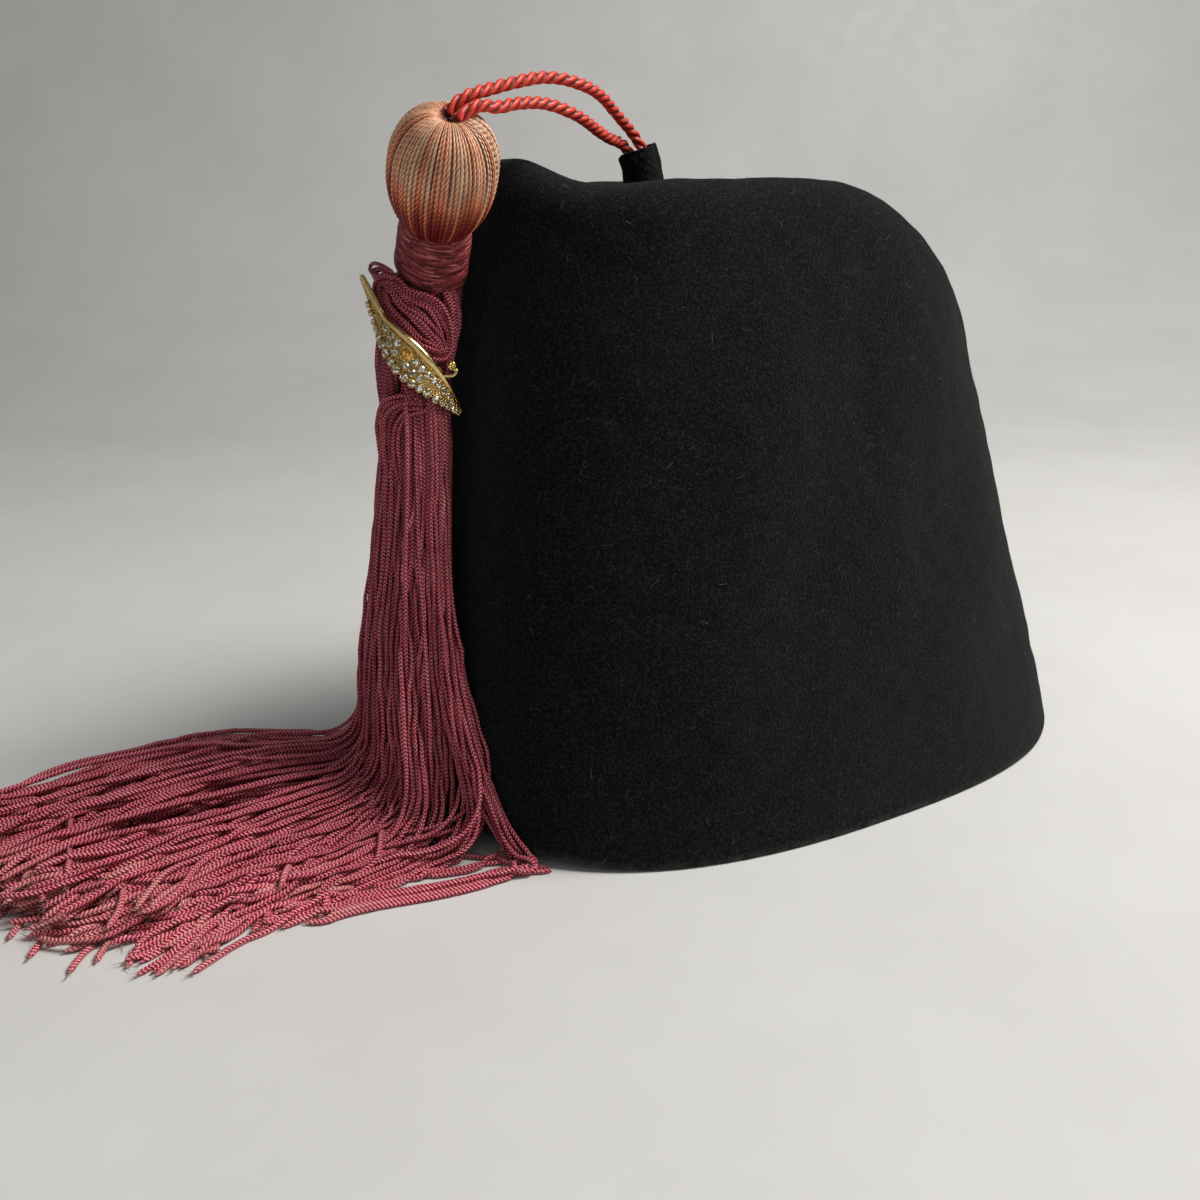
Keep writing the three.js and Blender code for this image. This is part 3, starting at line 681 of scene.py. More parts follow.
def build_stem():
    columns = 120
    a = np.arange(columns) / columns * 2 * math.pi
    roll = ((a - STEM_SEAM) % (2 * math.pi)) / (2 * math.pi)
    wrap = 0.45 * (1 - smooth(roll, 0.0, 0.55)) * smooth(roll, 0.0, 0.035) - 0.12
    hinge = np.array([-STEM_TOWARDS[1], STEM_TOWARDS[0], 0.0])

    def place(up, radius):
        lean = STEM_LEAN * np.minimum(1, up / STEM_HEIGHT)
        ring = np.stack([radius * np.cos(a), radius * np.sin(a), np.zeros_like(a)], -1)
        along = (ring @ hinge)[:, None] * hinge
        cross = np.cross(hinge, ring)
        c, s = np.cos(lean)[:, None], np.sin(lean)[:, None]
        turned = ring * c + cross * s + along * (1 - c)
        half = lean / 2
        rise = np.stack([STEM_TOWARDS[0] * up * np.sin(half), STEM_TOWARDS[1] * up * np.sin(half), up * np.cos(half)], -1)
        return np.array([STEM_AT[0], STEM_AT[1], PAD_HEIGHT - 0.1]) + rise + turned

    fuzz = Waves(31, 1.5, 6, 40)
    top = STEM_HEIGHT + 0.25 * np.sin(a * 2 + 0.7) + 0.35 * (1 - smooth(roll, 0.0, 0.4)) * smooth(roll, 0.0, 0.06)
    rows = []
    for k in np.linspace(0, 1, 34):
        up = k * (top - 0.5)
        rows.append(place(up, STEM_RADIUS + wrap + 0.9 * np.exp(-up / 0.9)))
    for k in np.linspace(0, 1, 7)[1:]:
        turn = k * math.pi / 2
        rows.append(place(top - 0.5 + 0.5 * math.sin(turn), STEM_RADIUS + wrap - 0.5 * (1 - math.cos(turn))))
    rows.append(place(top - 0.05, np.full_like(a, STEM_BORE + 0.35)))
    rows.append(place(top - 0.5, np.full_like(a, STEM_BORE)))
    for k in np.linspace(1, 0, 10):
        rows.append(place(np.full_like(a, STEM_FLOOR) + (top - 0.9 - STEM_FLOOR) * k, np.full_like(a, STEM_BORE)))
    rows.append(place(np.full_like(a, STEM_FLOOR), np.full_like(a, 0.05)))
    grid = np.stack(rows)
    out = grid_normals(grid)
    grid = grid + out * (0.07 * fuzz(grid))[..., None]
    worn = np.zeros(grid.shape[:2])
    worn[34:42] = 0.08
    u = np.arange(columns + 1) / columns
    return add_mesh("stem", grid.reshape(-1, 3), grid_faces(len(grid), columns), FELT, "felt", {"worn": worn.ravel()},
                    {"OFBake": grid_uv(u, np.linspace(0, 1, len(grid)))}, stands_for=("felt_stem",))


build_stem()

# ---------------------------------------------------------------- tassel head and neck

HEAD_CENTRE = np.array([-97.4, -7.3, 160.7])
HEAD_AXIS = unit(np.array([-0.117, -0.558, 0.821]))
HEAD_SIDE = unit(np.cross(HEAD_AXIS, np.array([0.0, 0.0, 1.0])))
HEAD_FRONT = np.cross(HEAD_SIDE, HEAD_AXIS)
HEAD_THREADS = 74
HEAD_PROFILE = [  # radius at a height along the axis, from the bottom over the top to the cord
    (-15.2, 5.2), (-14.5, 6.9), (-12.8, 8.8), (-9.7, 10.5), (-5.1, 11.8), (0.0, 12.2), (4.5, 11.8), (8.3, 10.4),
    (10.9, 8.5), (12.3, 6.5), (12.95, 4.9), (13.05, 3.7), (12.85, 2.7), (12.55, 1.8), (12.25, 1.0), (12.05, 0.3),
]
NECK_PROFILE = [(-27.4, 7.0), (-27.0, 8.2), (-25.6, 8.6), (-22.5, 8.5), (-18.5, 8.45), (-16.0, 8.35), (-14.3, 8.0), (-13.6, 7.0)]


def on_head(up, radius, angle):
    return (HEAD_CENTRE + up[..., None] * HEAD_AXIS
            + (radius * np.cos(angle))[..., None] * HEAD_SIDE + (radius * np.sin(angle))[..., None] * HEAD_FRONT)


def build_head():
    per_thread = 8
    columns = HEAD_THREADS * per_thread
    profile = spline(HEAD_PROFILE, 0.41)
    rows = len(profile)
    s = np.linspace(0, length_of(profile), rows)
    along = unit(np.gradient(profile, axis=0))
    outward = np.stack([-along[:, 1], along[:, 0]], -1)   # (up, radius) direction away from the axis
    rng = np.random.default_rng(41)
    shift = np.repeat(rng.normal(0, 0.10, HEAD_THREADS), per_thread)
    fat = np.repeat(rng.normal(1, 0.10, HEAD_THREADS), per_thread)
    pale = np.repeat(rng.normal(0, 0.17, HEAD_THREADS), per_thread)
    twist = np.repeat(rng.uniform(0, 1, HEAD_THREADS), per_thread)
    x = np.tile((np.arange(per_thread) + 0.0) / per_thread * 2 - 1, HEAD_THREADS)
    width = 2 * math.pi / HEAD_THREADS
    angle = np.arange(columns) / columns * 2 * math.pi
    drift = 0.16 * np.sin(s[:, None] / 9.0 + np.repeat(rng.uniform(0, 6.3, HEAD_THREADS), per_thread)[None])
    split = np.repeat((rng.random(HEAD_THREADS) < 0.45) * rng.uniform(0.35, 1.0, HEAD_THREADS), per_thread)
    angle = angle[None] + width * (shift[None] * 0.6 + drift * 0.5)
    crest = np.sqrt(np.maximum(0, 1 - (0.96 * x) ** 2))[None] * np.ones((rows, 1))
    ply = 0.5 + 0.5 * np.cos(2 * math.pi * (s[:, None] / 1.35 + 0.55 * x[None] + twist[None]))
    ridge = crest * (1 - 0.42 * ply)
    room = profile[:, 1:2] * width
    height = ridge * 0.66 * np.minimum(room, 1.15) * fat[None]
    up = profile[:, 0:1] + outward[:, 0:1] * (height - 0.45)
    radius = profile[:, 1:2] + outward[:, 1:2] * (height - 0.45)
    points = on_head(up, radius, angle)
    # Tone rises from the bottom to the top of the head: painted light on the top and painted shade on the underside;
    # pale varies each thread's own tone. It is lowered near the throat and in the ply grooves as painted shade.
    rise = (profile[:, 0] + 15) / 27.5
    tone = 0.02 + 0.92 * smooth(rise, 0.15, 0.66)[:, None] + pale[None]
    tone = tone * (1 - 0.5 * smooth(s / s[-1], 0.92, 1.0)[:, None])
    tone = (tone - 0.42 * ply + 0.1).clip(0, 1)
    # deep and parted drop the crease value near the throat and along split threads, which paints shade there.
    deep = smooth(s / s[-1], 0.93, 1.0)[:, None]
    parted = split[None] * smooth(rise, 0.25, 0.8)[:, None] * (x[None] > 0.0)
    crease = (ridge * (1 - deep) * (1 - 0.9 * parted)).clip(0, 1)
    u = np.arange(columns + 1) / columns
    return add_mesh("head", points.reshape(-1, 3), grid_faces(rows, columns), HEAD_THREAD, "head_thread",
                    {"tone": tone.ravel(), "crease": crease.ravel()},
                    {"OFBake": grid_uv(u, s / s[-1])}, stands_for=("tassel_head",))


NECK_TURNS = 36
NECK_SLOPE = 0.16


def build_neck():
    columns, per_turn = 120, 8
    profile = spline(NECK_PROFILE, 0.05)
    s = np.linspace(0, 1, len(profile))
    rows = NECK_TURNS * per_turn
    at = np.linspace(0, 1, rows)
    base = np.stack([np.interp(at, s, profile[:, 0]), np.interp(at, s, profile[:, 1])], -1)
    rng = np.random.default_rng(43)
    fat = np.interp(np.arange(rows) / per_turn, np.arange(NECK_TURNS + 1), rng.normal(1, 0.16, NECK_TURNS + 1))
    phase = np.arange(rows) / per_turn
    angle = np.arange(columns) / columns * 2 * math.pi
    lead = angle[None] / (2 * math.pi)
    wander = 0.25 * np.sin(angle[None] * 2 + phase[:, None] * 0.9) + 0.2 * np.sin(angle[None] * 3 - phase[:, None] * 1.7)
    x = ((phase[:, None] + lead + wander * 0.5) % 1.0) * 2 - 1
    ridge = np.sqrt(np.maximum(0, 1 - (0.97 * x) ** 2))
    height = 0.27 * ridge * fat[:, None]
    inner = smooth(at, 0.0, 0.05) * (1 - smooth(at, 0.97, 1.0))
    tilt = NECK_SLOPE * 6.0 * np.cos(angle - 0.3)[None] * inner[:, None] * 0.55
    up = base[:, 0:1] + tilt
    radius = base[:, 1:2] + height - 0.1
    turn = np.floor(phase[:, None] + lead + wander * 0.5).astype(int)
    streak = rng.normal(0, 1, (NECK_TURNS + 4, 24))
    spot = np.floor(angle[None] / (2 * math.pi) * 24 + turn * 3.7).astype(int) % 24
    # tone rises a little towards the top, varies from turn to turn, and streak adds lighter and darker dashes along the
    # windings, the lighter ones painted highlights.
    tone = (0.30 + 0.16 * at[:, None] + 0.13 * rng.normal(size=NECK_TURNS + 4)[turn + 1] + 0.22 * streak[turn + 1, spot]).clip(0, 1)
    points = on_head(up, radius, angle[None] + 0 * up)
    u = np.arange(columns + 1) / columns
    # The crease value follows the winding ridges, so the gaps between windings are painted dark as shade.
    return add_mesh("neck", points.reshape(-1, 3), grid_faces(rows, columns), NECK_THREAD, "neck_thread",
                    {"tone": (tone + 0 * up).ravel(), "crease": ridge.ravel()},
                    {"OFBake": grid_uv(u, at)}, stands_for=("tassel_neck",))


build_head()
build_neck()

# ---------------------------------------------------------------- tassel strands

STRAND_RADIUS = 0.74
HANGING_RADIUS = 0.52
STRANDS = 214
STRAND_POINTS = 128
RUFF_SECTIONS = np.array([  # middle x, y, z, half width across, half depth
    (-94.1, 8.3, 137.8, 8.2, 8.2), (-93.85, 9.65, 135.75, 8.9, 8.7), (-94.8, 10.4, 131.6, 9.4, 9.2),
    (-96.4, 10.2, 125.8, 9.8, 9.6), (-98.0, 9.6, 119.6, 9.9, 9.7), (-98.9, 9.1, 113.6, 9.7, 9.5),
    (-99.0, 9.0, 107.4, 9.2, 9.0), (-99.1, 9.0, 101.0, 8.0, 7.8),
])
HANG = np.array([  # the hanging bundle from the cinch down: middle x, y, z, half width across, half depth
    (-99.0, 9.0, 110.4, 7.4, 7.2), (-99.0, 9.0, 106.8, 9.1, 8.9), (-99.1, 9.0, 102.5, 9.3, 8.9), (-100.2, 8.6, 93.0, 9.6, 8.8),
    (-102.5, 8.0, 79.0, 10.8, 8.8), (-105.2, 7.4, 60.0, 13.4, 8.9), (-107.4, 6.6, 42.5, 17.0, 9.2),
    (-109.0, 5.6, 28.0, 21.0, 9.6), (-110.2, 5.0, 14.0, 24.0, 10.0), (-110.8, 4.8, 0.0, 25.5, 10.0),
])
FAR_END = -223.0
FAN_FRONT = np.array([  # front edge of the fan on the surface: x, y
    (-223.0, 15.0), (-206.0, 8.0), (-203.0, 0.0), (-197.0, -10.0), (-186.0, -16.0), (-173.0, -20.5), (-161.0, -21.0),
    (-145.0, -24.0), (-122.0, -29.0), (-88.0, -34.0),
])


def bundle_frames(sections):
    middle = sections[:, :3]
    along = unit(np.gradient(middle, axis=0))
    across = unit(np.array([0.0, 1.0, 0.0]) - along[:, 1:2] * along)
    return middle, across, np.cross(along, across)


def disc(count, turn=2.39996):
    i = np.arange(count)
    r = np.sqrt((i + 0.5) / count)
    return r * np.cos(i * turn), r * np.sin(i * turn)


def neighbours(p, reach):
    """Pairs of points closer than reach, by a grid of cells."""
    cell = np.floor((p - p.min(0)) / reach).astype(np.int64) + 1
    span = cell.max(0) + 2
    key = (cell[:, 0] * span[1] + cell[:, 1]) * span[2] + cell[:, 2]
    order = np.argsort(key, kind="stable")
    sorted_key = key[order]
    found = []
    for dx in (0, 1):
        for dy in (-1, 0, 1):
            for dz in (-1, 0, 1):
                if (dx, dy, dz) < (0, 0, 0):
                    continue
                shift = (dx * span[1] + dy) * span[2] + dz
                low = np.searchsorted(sorted_key, sorted_key + shift, "left")
                high = np.searchsorted(sorted_key, sorted_key + shift, "right")
                if shift == 0:
                    low = np.maximum(low, np.arange(len(key)) + 1)
                many = np.maximum(high - low, 0)
                total = int(many.sum())
                if not total:
                    continue
                a = np.repeat(np.arange(len(key)), many)
                b = np.arange(total) - np.repeat(np.cumsum(many) - many, many) + np.repeat(low, many)
                found.append((order[a], order[b]))
    i = np.concatenate([f[0] for f in found])
    j = np.concatenate([f[1] for f in found])
    gap = np.linalg.norm(p[i] - p[j], axis=1)
    near = gap < reach
    return i[near], j[near], gap[near]


def off_the_crown(p, clear):
    """Moves points out of the felt wall."""
    z = p[..., 2].clip(0, CROWN_HEIGHT)
    share = z / CROWN_HEIGHT
    middle = TOP_MIDDLE * share[..., None]
    half_l = RIM_HALF_LENGTH + (TOP_HALF_LENGTH - RIM_HALF_LENGTH) * share + clear
    half_w = RIM_HALF_WIDTH + (TOP_HALF_WIDTH - RIM_HALF_WIDTH) * share + clear
    d = p[..., :2] - middle
    f = (np.abs(d[..., 0]) / half_l) ** OVAL_POWER + (np.abs(d[..., 1]) / half_w) ** OVAL_POWER
    slope = np.stack([
        OVAL_POWER * np.sign(d[..., 0]) * (np.abs(d[..., 0]) / half_l) ** (OVAL_POWER - 1) / half_l,
        OVAL_POWER * np.sign(d[..., 1]) * (np.abs(d[..., 1]) / half_w) ** (OVAL_POWER - 1) / half_w], -1)
    steep = np.maximum((slope ** 2).sum(-1), 1e-6)
    push = np.where(f < 1, (1 - f) / steep, 0)[..., None] * slope
    size = np.linalg.norm(push, axis=-1, keepdims=True)
    p[..., :2] += push * np.minimum(1, 3.0 / np.maximum(size, 1e-6))
    return p


def relax(paths, pinned, rounds, gap, tight, stiff=0.06, weight=0.03):
    """Settles strands: they keep their length, push each other apart and lie on the surface."""
    x = paths.copy()
    n, m = x.shape[:2]
    rest = np.linalg.norm(np.diff(x, axis=1), axis=2)
    strand = np.repeat(np.arange(n), m)
    place = np.tile(np.arange(m), n)
    hold = np.zeros((n, m), bool)
    hold[:, :pinned] = True
    home = x.copy()
    free = (~hold)[..., None].astype(float)
    room = np.tile(tight + (gap - tight) * smooth(np.arange(m), 22, 50), n)
    for turn in range(rounds):
        before = x.copy()
        x[..., 2] -= weight * free[..., 0]
        bend = np.zeros_like(x)
        bend[:, 1:-1] = 0.5 * (x[:, :-2] + x[:, 2:]) - x[:, 1:-1]
        x += stiff * bend * free
        flat = x.reshape(-1, 3)
        i, j, d = neighbours(flat, gap)
        keep = (strand[i] != strand[j]) | (np.abs(place[i] - place[j]) > 3)
        want = 0.5 * (room[i] + room[j])
        keep &= d < want
        i, j, d, want = i[keep], j[keep], d[keep], want[keep]
        way = (flat[i] - flat[j]) / np.maximum(d, 1e-6)[:, None]
        move = way * ((want - d) * 0.5)[:, None]
        push = np.zeros_like(flat)
        hits = np.ones(len(flat))
        np.add.at(push, i, move)
        np.add.at(push, j, -move)
        np.add.at(hits, i, 0.35)
        np.add.at(hits, j, 0.35)
        x += (push / hits[:, None]).reshape(x.shape) * free
        for half in (0, 1, 0, 1):
            a, b = x[:, half:-1:2], x[:, half + 1 :: 2]
            a, b = a[:, : b.shape[1]], b[:, : a.shape[1]]
            r = rest[:, half::2][:, : a.shape[1]]
            step = b - a
            size = np.linalg.norm(step, axis=2)
            wa, wb = free[:, half:-1:2][:, : a.shape[1]], free[:, half + 1 :: 2][:, : a.shape[1]]
            fix = step / np.maximum(size, 1e-6)[..., None] * ((size - r) / 1.0)[..., None] / np.maximum(wa + wb, 1e-6)
            a += fix * wa
            b -= fix * wb
        x = off_the_crown(x, STRAND_RADIUS + 0.5)
        low = x[..., 2] < STRAND_RADIUS
        x[..., 2] = np.maximum(x[..., 2], STRAND_RADIUS)
        grip = np.where(low, 0.35, 0.85)[..., None]
        x[..., :2] = before[..., :2] + (x[..., :2] - before[..., :2]) * grip
        x[..., 0] = np.maximum(x[..., 0], FAR_END)
        x = np.where(hold[..., None], home, x)
    return x


def fit_length(points, reach):
    dense = spline(points, 0.8)
    s = np.concatenate([[0], np.cumsum(np.linalg.norm(np.diff(dense, axis=0), axis=1))])
    return resample(dense[s <= min(reach, s[-1])], count=STRAND_POINTS)


def lay_strands():
    """First lie of every strand: down in the bundle, round the bend and away over the surface."""
    rng = np.random.default_rng(51)
    p, q = disc(STRANDS)
    level = np.arange(HANG[0, 2], -0.5, -1.5)
    hang = np.stack([np.interp(-level, -HANG[:, 2], HANG[:, k]) for k in range(5)], -1)
    paths = []
    for i in range(STRANDS):
        back = (1 + p[i]) / 2
        pile = (1 - q[i]) / 2
        total = rng.uniform(222, 244)
        bend = 16 + 5 * q[i] + rng.normal(0, 2.0)
        top = 0.9 + 25.0 * pile ** 0.8 * (0.2 + 0.8 * back) + 1.5 * rng.random()
        drop = HANG[0, 2] - level
        sway = [0.9 * smooth(drop, 4, 30) * np.sin(drop / rng.uniform(6, 14) + rng.uniform(0, 6.3)) * rng.normal() for _ in range(2)]
        line = np.stack([hang[:, 0] + hang[:, 4] * q[i] * 0.95 + sway[0], hang[:, 1] + hang[:, 3] * p[i] * 0.95 + sway[1], level], -1)
        line = line[level > top + bend]
        side = float(np.clip(p[i] * (0.8 + 0.2 * q[i]) + rng.normal(0, 0.16), -1, 1))
        side = side ** 0.72 if side > 0 else side
        start = -side * math.radians(64 if side > 0 else 34)
        middle = float(smooth(back, 0.02, 0.45)) * (1 - 0.65 * back ** 2)
        later = math.radians(rng.normal(-2, 8) + 4 * middle)
        forward = rng.random() < 0.06 + 0.30 * middle
        last = math.radians(rng.normal(54, 20) if forward else rng.normal(-2, 12))
        turns = rng.uniform(42, 84)
        verge = rng.uniform(-18.0, 4.0)
        waves = [(rng.normal(0, 0.24), rng.uniform(7, 17), rng.uniform(0, 6.3)) for _ in range(2)]
        waves.append((rng.normal(0, 0.42 * (1.1 - back)), rng.uniform(5.0, 8.5), rng.uniform(0, 6.3)))
        keep = 84 if side > 0 else 34
        at, gone, run = line[-1].copy(), length_of(line), 0.0
        points = [at.copy()]
        while gone < total:
            heading = start * (1 - smooth(run, 0, keep)) + later * smooth(run, 8, 60) + last * smooth(run, turns, turns + 52)
            heading += smooth(run, 12, 40) * sum(a * math.sin(run / w + f) for a, w, f in waves)
            front = float(np.interp(at[0], FAN_FRONT[:, 0], FAN_FRONT[:, 1]))
            heading -= 0.02 * max(0.0, front + 8 - at[1]) - 0.10 * max(0.0, at[1] - 57.0)
            edge = front - verge * (0.3 + 0.7 * float(smooth(-at[0], 172, 190)))
            if run > 30 and (at[1] < edge or at[0] < FAR_END + 2 + 0.5 * abs(verge)):
                break
            rest = 0.9 + (top - 0.9) * (1 - 0.45 * float(smooth(run, 5, 120)))
            turned = float(np.clip(1 - (at[2] - rest) / bend, 0.0, 1.0))
            down = math.sqrt(max(0.0, 1 - turned * turned))
            step = np.array([-turned * math.cos(heading), -turned * math.sin(heading), -down])
            at = at + step * 1.0
            at[2] = max(at[2], rest - 0.2)
            gone += 1.0
            run += turned
            points.append(at.copy())
        path = np.concatenate([line[:-1], np.array(points)])
        paths.append(resample(spline(path[::2], 0.8), count=STRAND_POINTS))
    return np.stack(paths)


SWEEPS = [  # strands that run down the felt, turn back near the rim's corner and end over the surface
    [(-93.6, 3.2, 106.8), (-94.4, 1.8, 93.0), (-96.4, -1.5, 79.0), (-99.2, -6.0, 60.0), (-100.9, -12.0, 43.0),
     (-100.2, -19.2, 28.0), (-97.8, -27.4, 14.0), (-94.6, -34.0, 5.0), (-91.2, -38.0, 1.9), (-93.2, -40.6, 1.3),
     (-96.6, -38.6, 1.2), (-101.5, -36.4, 1.2), (-108.7, -36.6, 1.2), (-120.7, -34.7, 1.2), (-134.1, -31.2, 1.2), (-145.2, -31.4, 1.2)],
    [(-95.0, 1.6, 106.8), (-95.8, 0.2, 93.0), (-97.8, -3.0, 79.0), (-100.4, -7.6, 60.0), (-101.8, -13.4, 43.0),
     (-101.0, -20.4, 28.0), (-98.6, -28.2, 14.0), (-96.4, -33.0, 6.0), (-94.4, -35.6, 3.0), (-96.0, -37.6, 2.8),
     (-99.0, -36.0, 2.6), (-104.0, -35.0, 2.4), (-112.0, -34.0, 1.4), (-124.0, -31.0, 1.2), (-140.0, -26.5, 1.2), (-160.0, -25.0, 1.2)],
    [(-96.4, 0.4, 106.8), (-97.2, -1.2, 93.0), (-99.2, -4.4, 79.0), (-101.6, -9.0, 60.0), (-103.0, -14.6, 43.0),
     (-102.6, -20.0, 28.0), (-100.6, -25.6, 15.0), (-98.2, -29.6, 7.5), (-98.0, -31.0, 4.6), (-100.6, -30.0, 4.0),
     (-104.8, -29.6, 2.8), (-108.4, -30.6, 1.6), (-117.0, -27.4, 1.2), (-132.5, -21.6, 1.2), (-148.0, -22.0, 1.2), (-161.3, -28.4, 1.2)],
    [(-103.0, 1.0, 106.8), (-103.8, 0.0, 96.0), (-105.6, -3.0, 80.0), (-107.4, -8.0, 62.0), (-108.6, -11.5, 46.0),
     (-109.4, -13.5, 28.0), (-109.8, -14.4, 12.0), (-109.4, -15.4, 3.4), (-109.2, -19.4, 1.4), (-106.9, -23.2, 1.3),
     (-103.4, -25.9, 1.6), (-99.6, -31.0, 3.2), (-97.4, -34.6, 3.4), (-100.0, -37.6, 2.4), (-108.0, -38.2, 1.2), (-120.0, -36.8, 1.2),
     (-133.0, -33.6, 1.2), (-150.0, -30.6, 1.2)],
    [(-97.6, -0.2, 106.8), (-98.6, -1.4, 93.0), (-100.4, -4.0, 79.0), (-101.8, -7.6, 62.0), (-102.0, -12.0, 46.0),
     (-101.0, -17.4, 32.0), (-100.2, -21.6, 22.0), (-101.6, -24.0, 14.4), (-105.0, -24.4, 9.0), (-110.0, -23.0, 6.0),
     (-118.0, -21.0, 4.4), (-130.0, -20.0, 3.6), (-146.0, -21.0, 2.8), (-164.0, -26.0, 2.0), (-178.0, -33.0, 1.4)],
    [(-95.8, 3.6, 106.8), (-96.6, 1.6, 93.0), (-98.6, -1.0, 79.0), (-100.4, -4.6, 62.0), (-101.2, -9.4, 46.0),
     (-100.6, -15.0, 32.0), (-99.6, -20.4, 21.0), (-100.4, -23.4, 12.0), (-103.6, -23.6, 6.4), (-109.0, -21.0, 4.0),
     (-118.0, -17.0, 3.6), (-132.0, -15.6, 3.0), (-150.0, -19.0, 2.4), (-168.0, -27.0, 1.8), (-172.6, -33.0, 1.3)],
    [(-99.4, -0.6, 106.8), (-100.2, -1.8, 93.0), (-101.8, -4.8, 79.0), (-103.2, -9.0, 62.0), (-103.6, -13.4, 46.0),
     (-103.2, -18.0, 32.0), (-102.6, -22.4, 20.0), (-104.4, -25.4, 11.4), (-108.6, -26.2, 6.0), (-114.0, -25.4, 3.0),
     (-124.0, -26.6, 2.0), (-138.0, -27.0, 1.6), (-154.0, -24.0, 1.6), (-170.0, -24.4, 1.6), (-186.0, -31.0, 1.2)],
]


BESIDE = np.array([  # a strand at the right of the bundle that bends away to the front
    (-99.5, 0.0, 106.8), (-100.4, -1.4, 93.0), (-102.5, -3.6, 79.0), (-104.5, -6.4, 62.0), (-105.6, -9.2, 46.0),
    (-106.2, -12.0, 32.0), (-106.8, -14.6, 20.0), (-108.4, -17.0, 11.0), (-112.0, -18.6, 6.0), (-118.0, -19.0, 4.0),
    (-128.0, -19.0, 3.0), (-142.0, -20.0, 2.4), (-158.0, -21.0, 2.0), (-174.0, -24.0, 1.6), (-188.0, -27.0, 1.2),
])


FRONT_ENDS = [  # where single strands end in front of the others: x, y
    (-146.0, -31.5), (-159.0, -29.0), (-172.5, -33.0), (-177.0, -28.5), (-187.0, -27.0), (-192.0, -21.5), (-197.5, -22.5),
    (-203.5, -12.0), (-206.0, -2.0), (-209.0, 5.0),
]


def lay_sweeps():
    rng = np.random.default_rng(55)
    lines = [np.array(line) for line in SWEEPS]
    for _ in range(3):
        share = rng.dirichlet((1.0, 1.0, 1.0))
        line = sum(w * one for w, one in zip(share, lines[:3]))
        sag = smooth(np.arange(len(line)), 2, 6) * (1 - smooth(np.arange(len(line)), 7, 10))
        line = line + sag[:, None] * rng.normal(0, 1.0, 3) + np.array([-0.8, 1.2, 0.0]) * rng.uniform(0, 2.2)
        line[9:, 1] += rng.normal(0, 2.0)
        line[:, 2] = np.maximum(line[:, 2] + smooth(np.arange(len(line)), 7, 9) * rng.uniform(0, 1.6), 1.0)
        line[0, 2] = HANG[0, 2]
        lines.append(line)
    row = np.arange(len(BESIDE))
    for k in range(12):
        share = -0.35 + 1.25 * k / 11
        line = lines[4] + (BESIDE - lines[4]) * share + rng.normal(0, 0.5, 3)
        line[:, 1] += smooth(row, 3, 7) * rng.normal(0, 1.6) + smooth(row, 9, 12) * rng.normal(3, 4.0) + smooth(row, 12, 14) * rng.normal(-2, 4.0)
        line[:, 0] += smooth(row, 3, 6) * rng.normal(0, 0.8)
        line[:, 2] = np.maximum(line[:, 2] + smooth(row, 4, 7) * rng.normal(0, 2.5) * (1 - 0.7 * smooth(row, 9, 12)), 1.0)
        line[0, 2] = HANG[0, 2]
        lines.append(line)
    laid = [fit_length(line, rng.uniform(222, 242)) for line in lines]
    for x, y in FRONT_ENDS:
        a, b = rng.normal(0, 1.3, 2)
        behind, bow = y + rng.uniform(9, 17), rng.uniform(3, 8)
        line = [(-101.5 + a, 2.5 + b, HANG[0, 2]), (-103.0 + a, 0.5 + b, 93.0), (-105.5 + a, -1.5 + b, 75.0),
                (-107.5 + a, -4.0 + b, 50.0), (-109.0 + a, -6.0 + b, 28.0), (-112.0, -7.0 + b, 17.0)]
        for share, z in ((0.2, 12.0), (0.5, 9.0), (0.8, 6.0)):
            line.append((-112 + (x + 13 + 112) * share, -7 + (behind + 7) * share + bow * math.sin(share * 6.3), z))
        line += [(x + 6.5, y + 8.5, 3.4), (x + 2.5, y + 4.0, 1.5), (x, y, 1.0)]
        laid.append(fit_length(np.array(line), 300))
    return np.stack(laid)


def tube_rings(path, radius, sides, seed, lobe=0.06, lobe_pitch=9.0):
    t, n, b = frames_along(path, (0.2, 1.0, 0.3))
    s = np.concatenate([[0], np.cumsum(np.linalg.norm(np.diff(path, axis=0), axis=1))])
    angle = np.arange(sides) / sides * 2 * math.pi
    lobes = 1 + lobe * np.cos(2 * (angle[None] - 2 * math.pi * s[:, None] / lobe_pitch - seed))
    r = np.asarray(radius) * np.ones(len(path))
    r = r * np.minimum(1, np.minimum(s, s[-1] - s) / 0.5 + 0.12)
    ring = path[:, None] + (r[:, None] * lobes)[..., None] * (
        n[:, None] * np.cos(angle)[None, :, None] + b[:, None] * np.sin(angle)[None, :, None])
    return ring, s


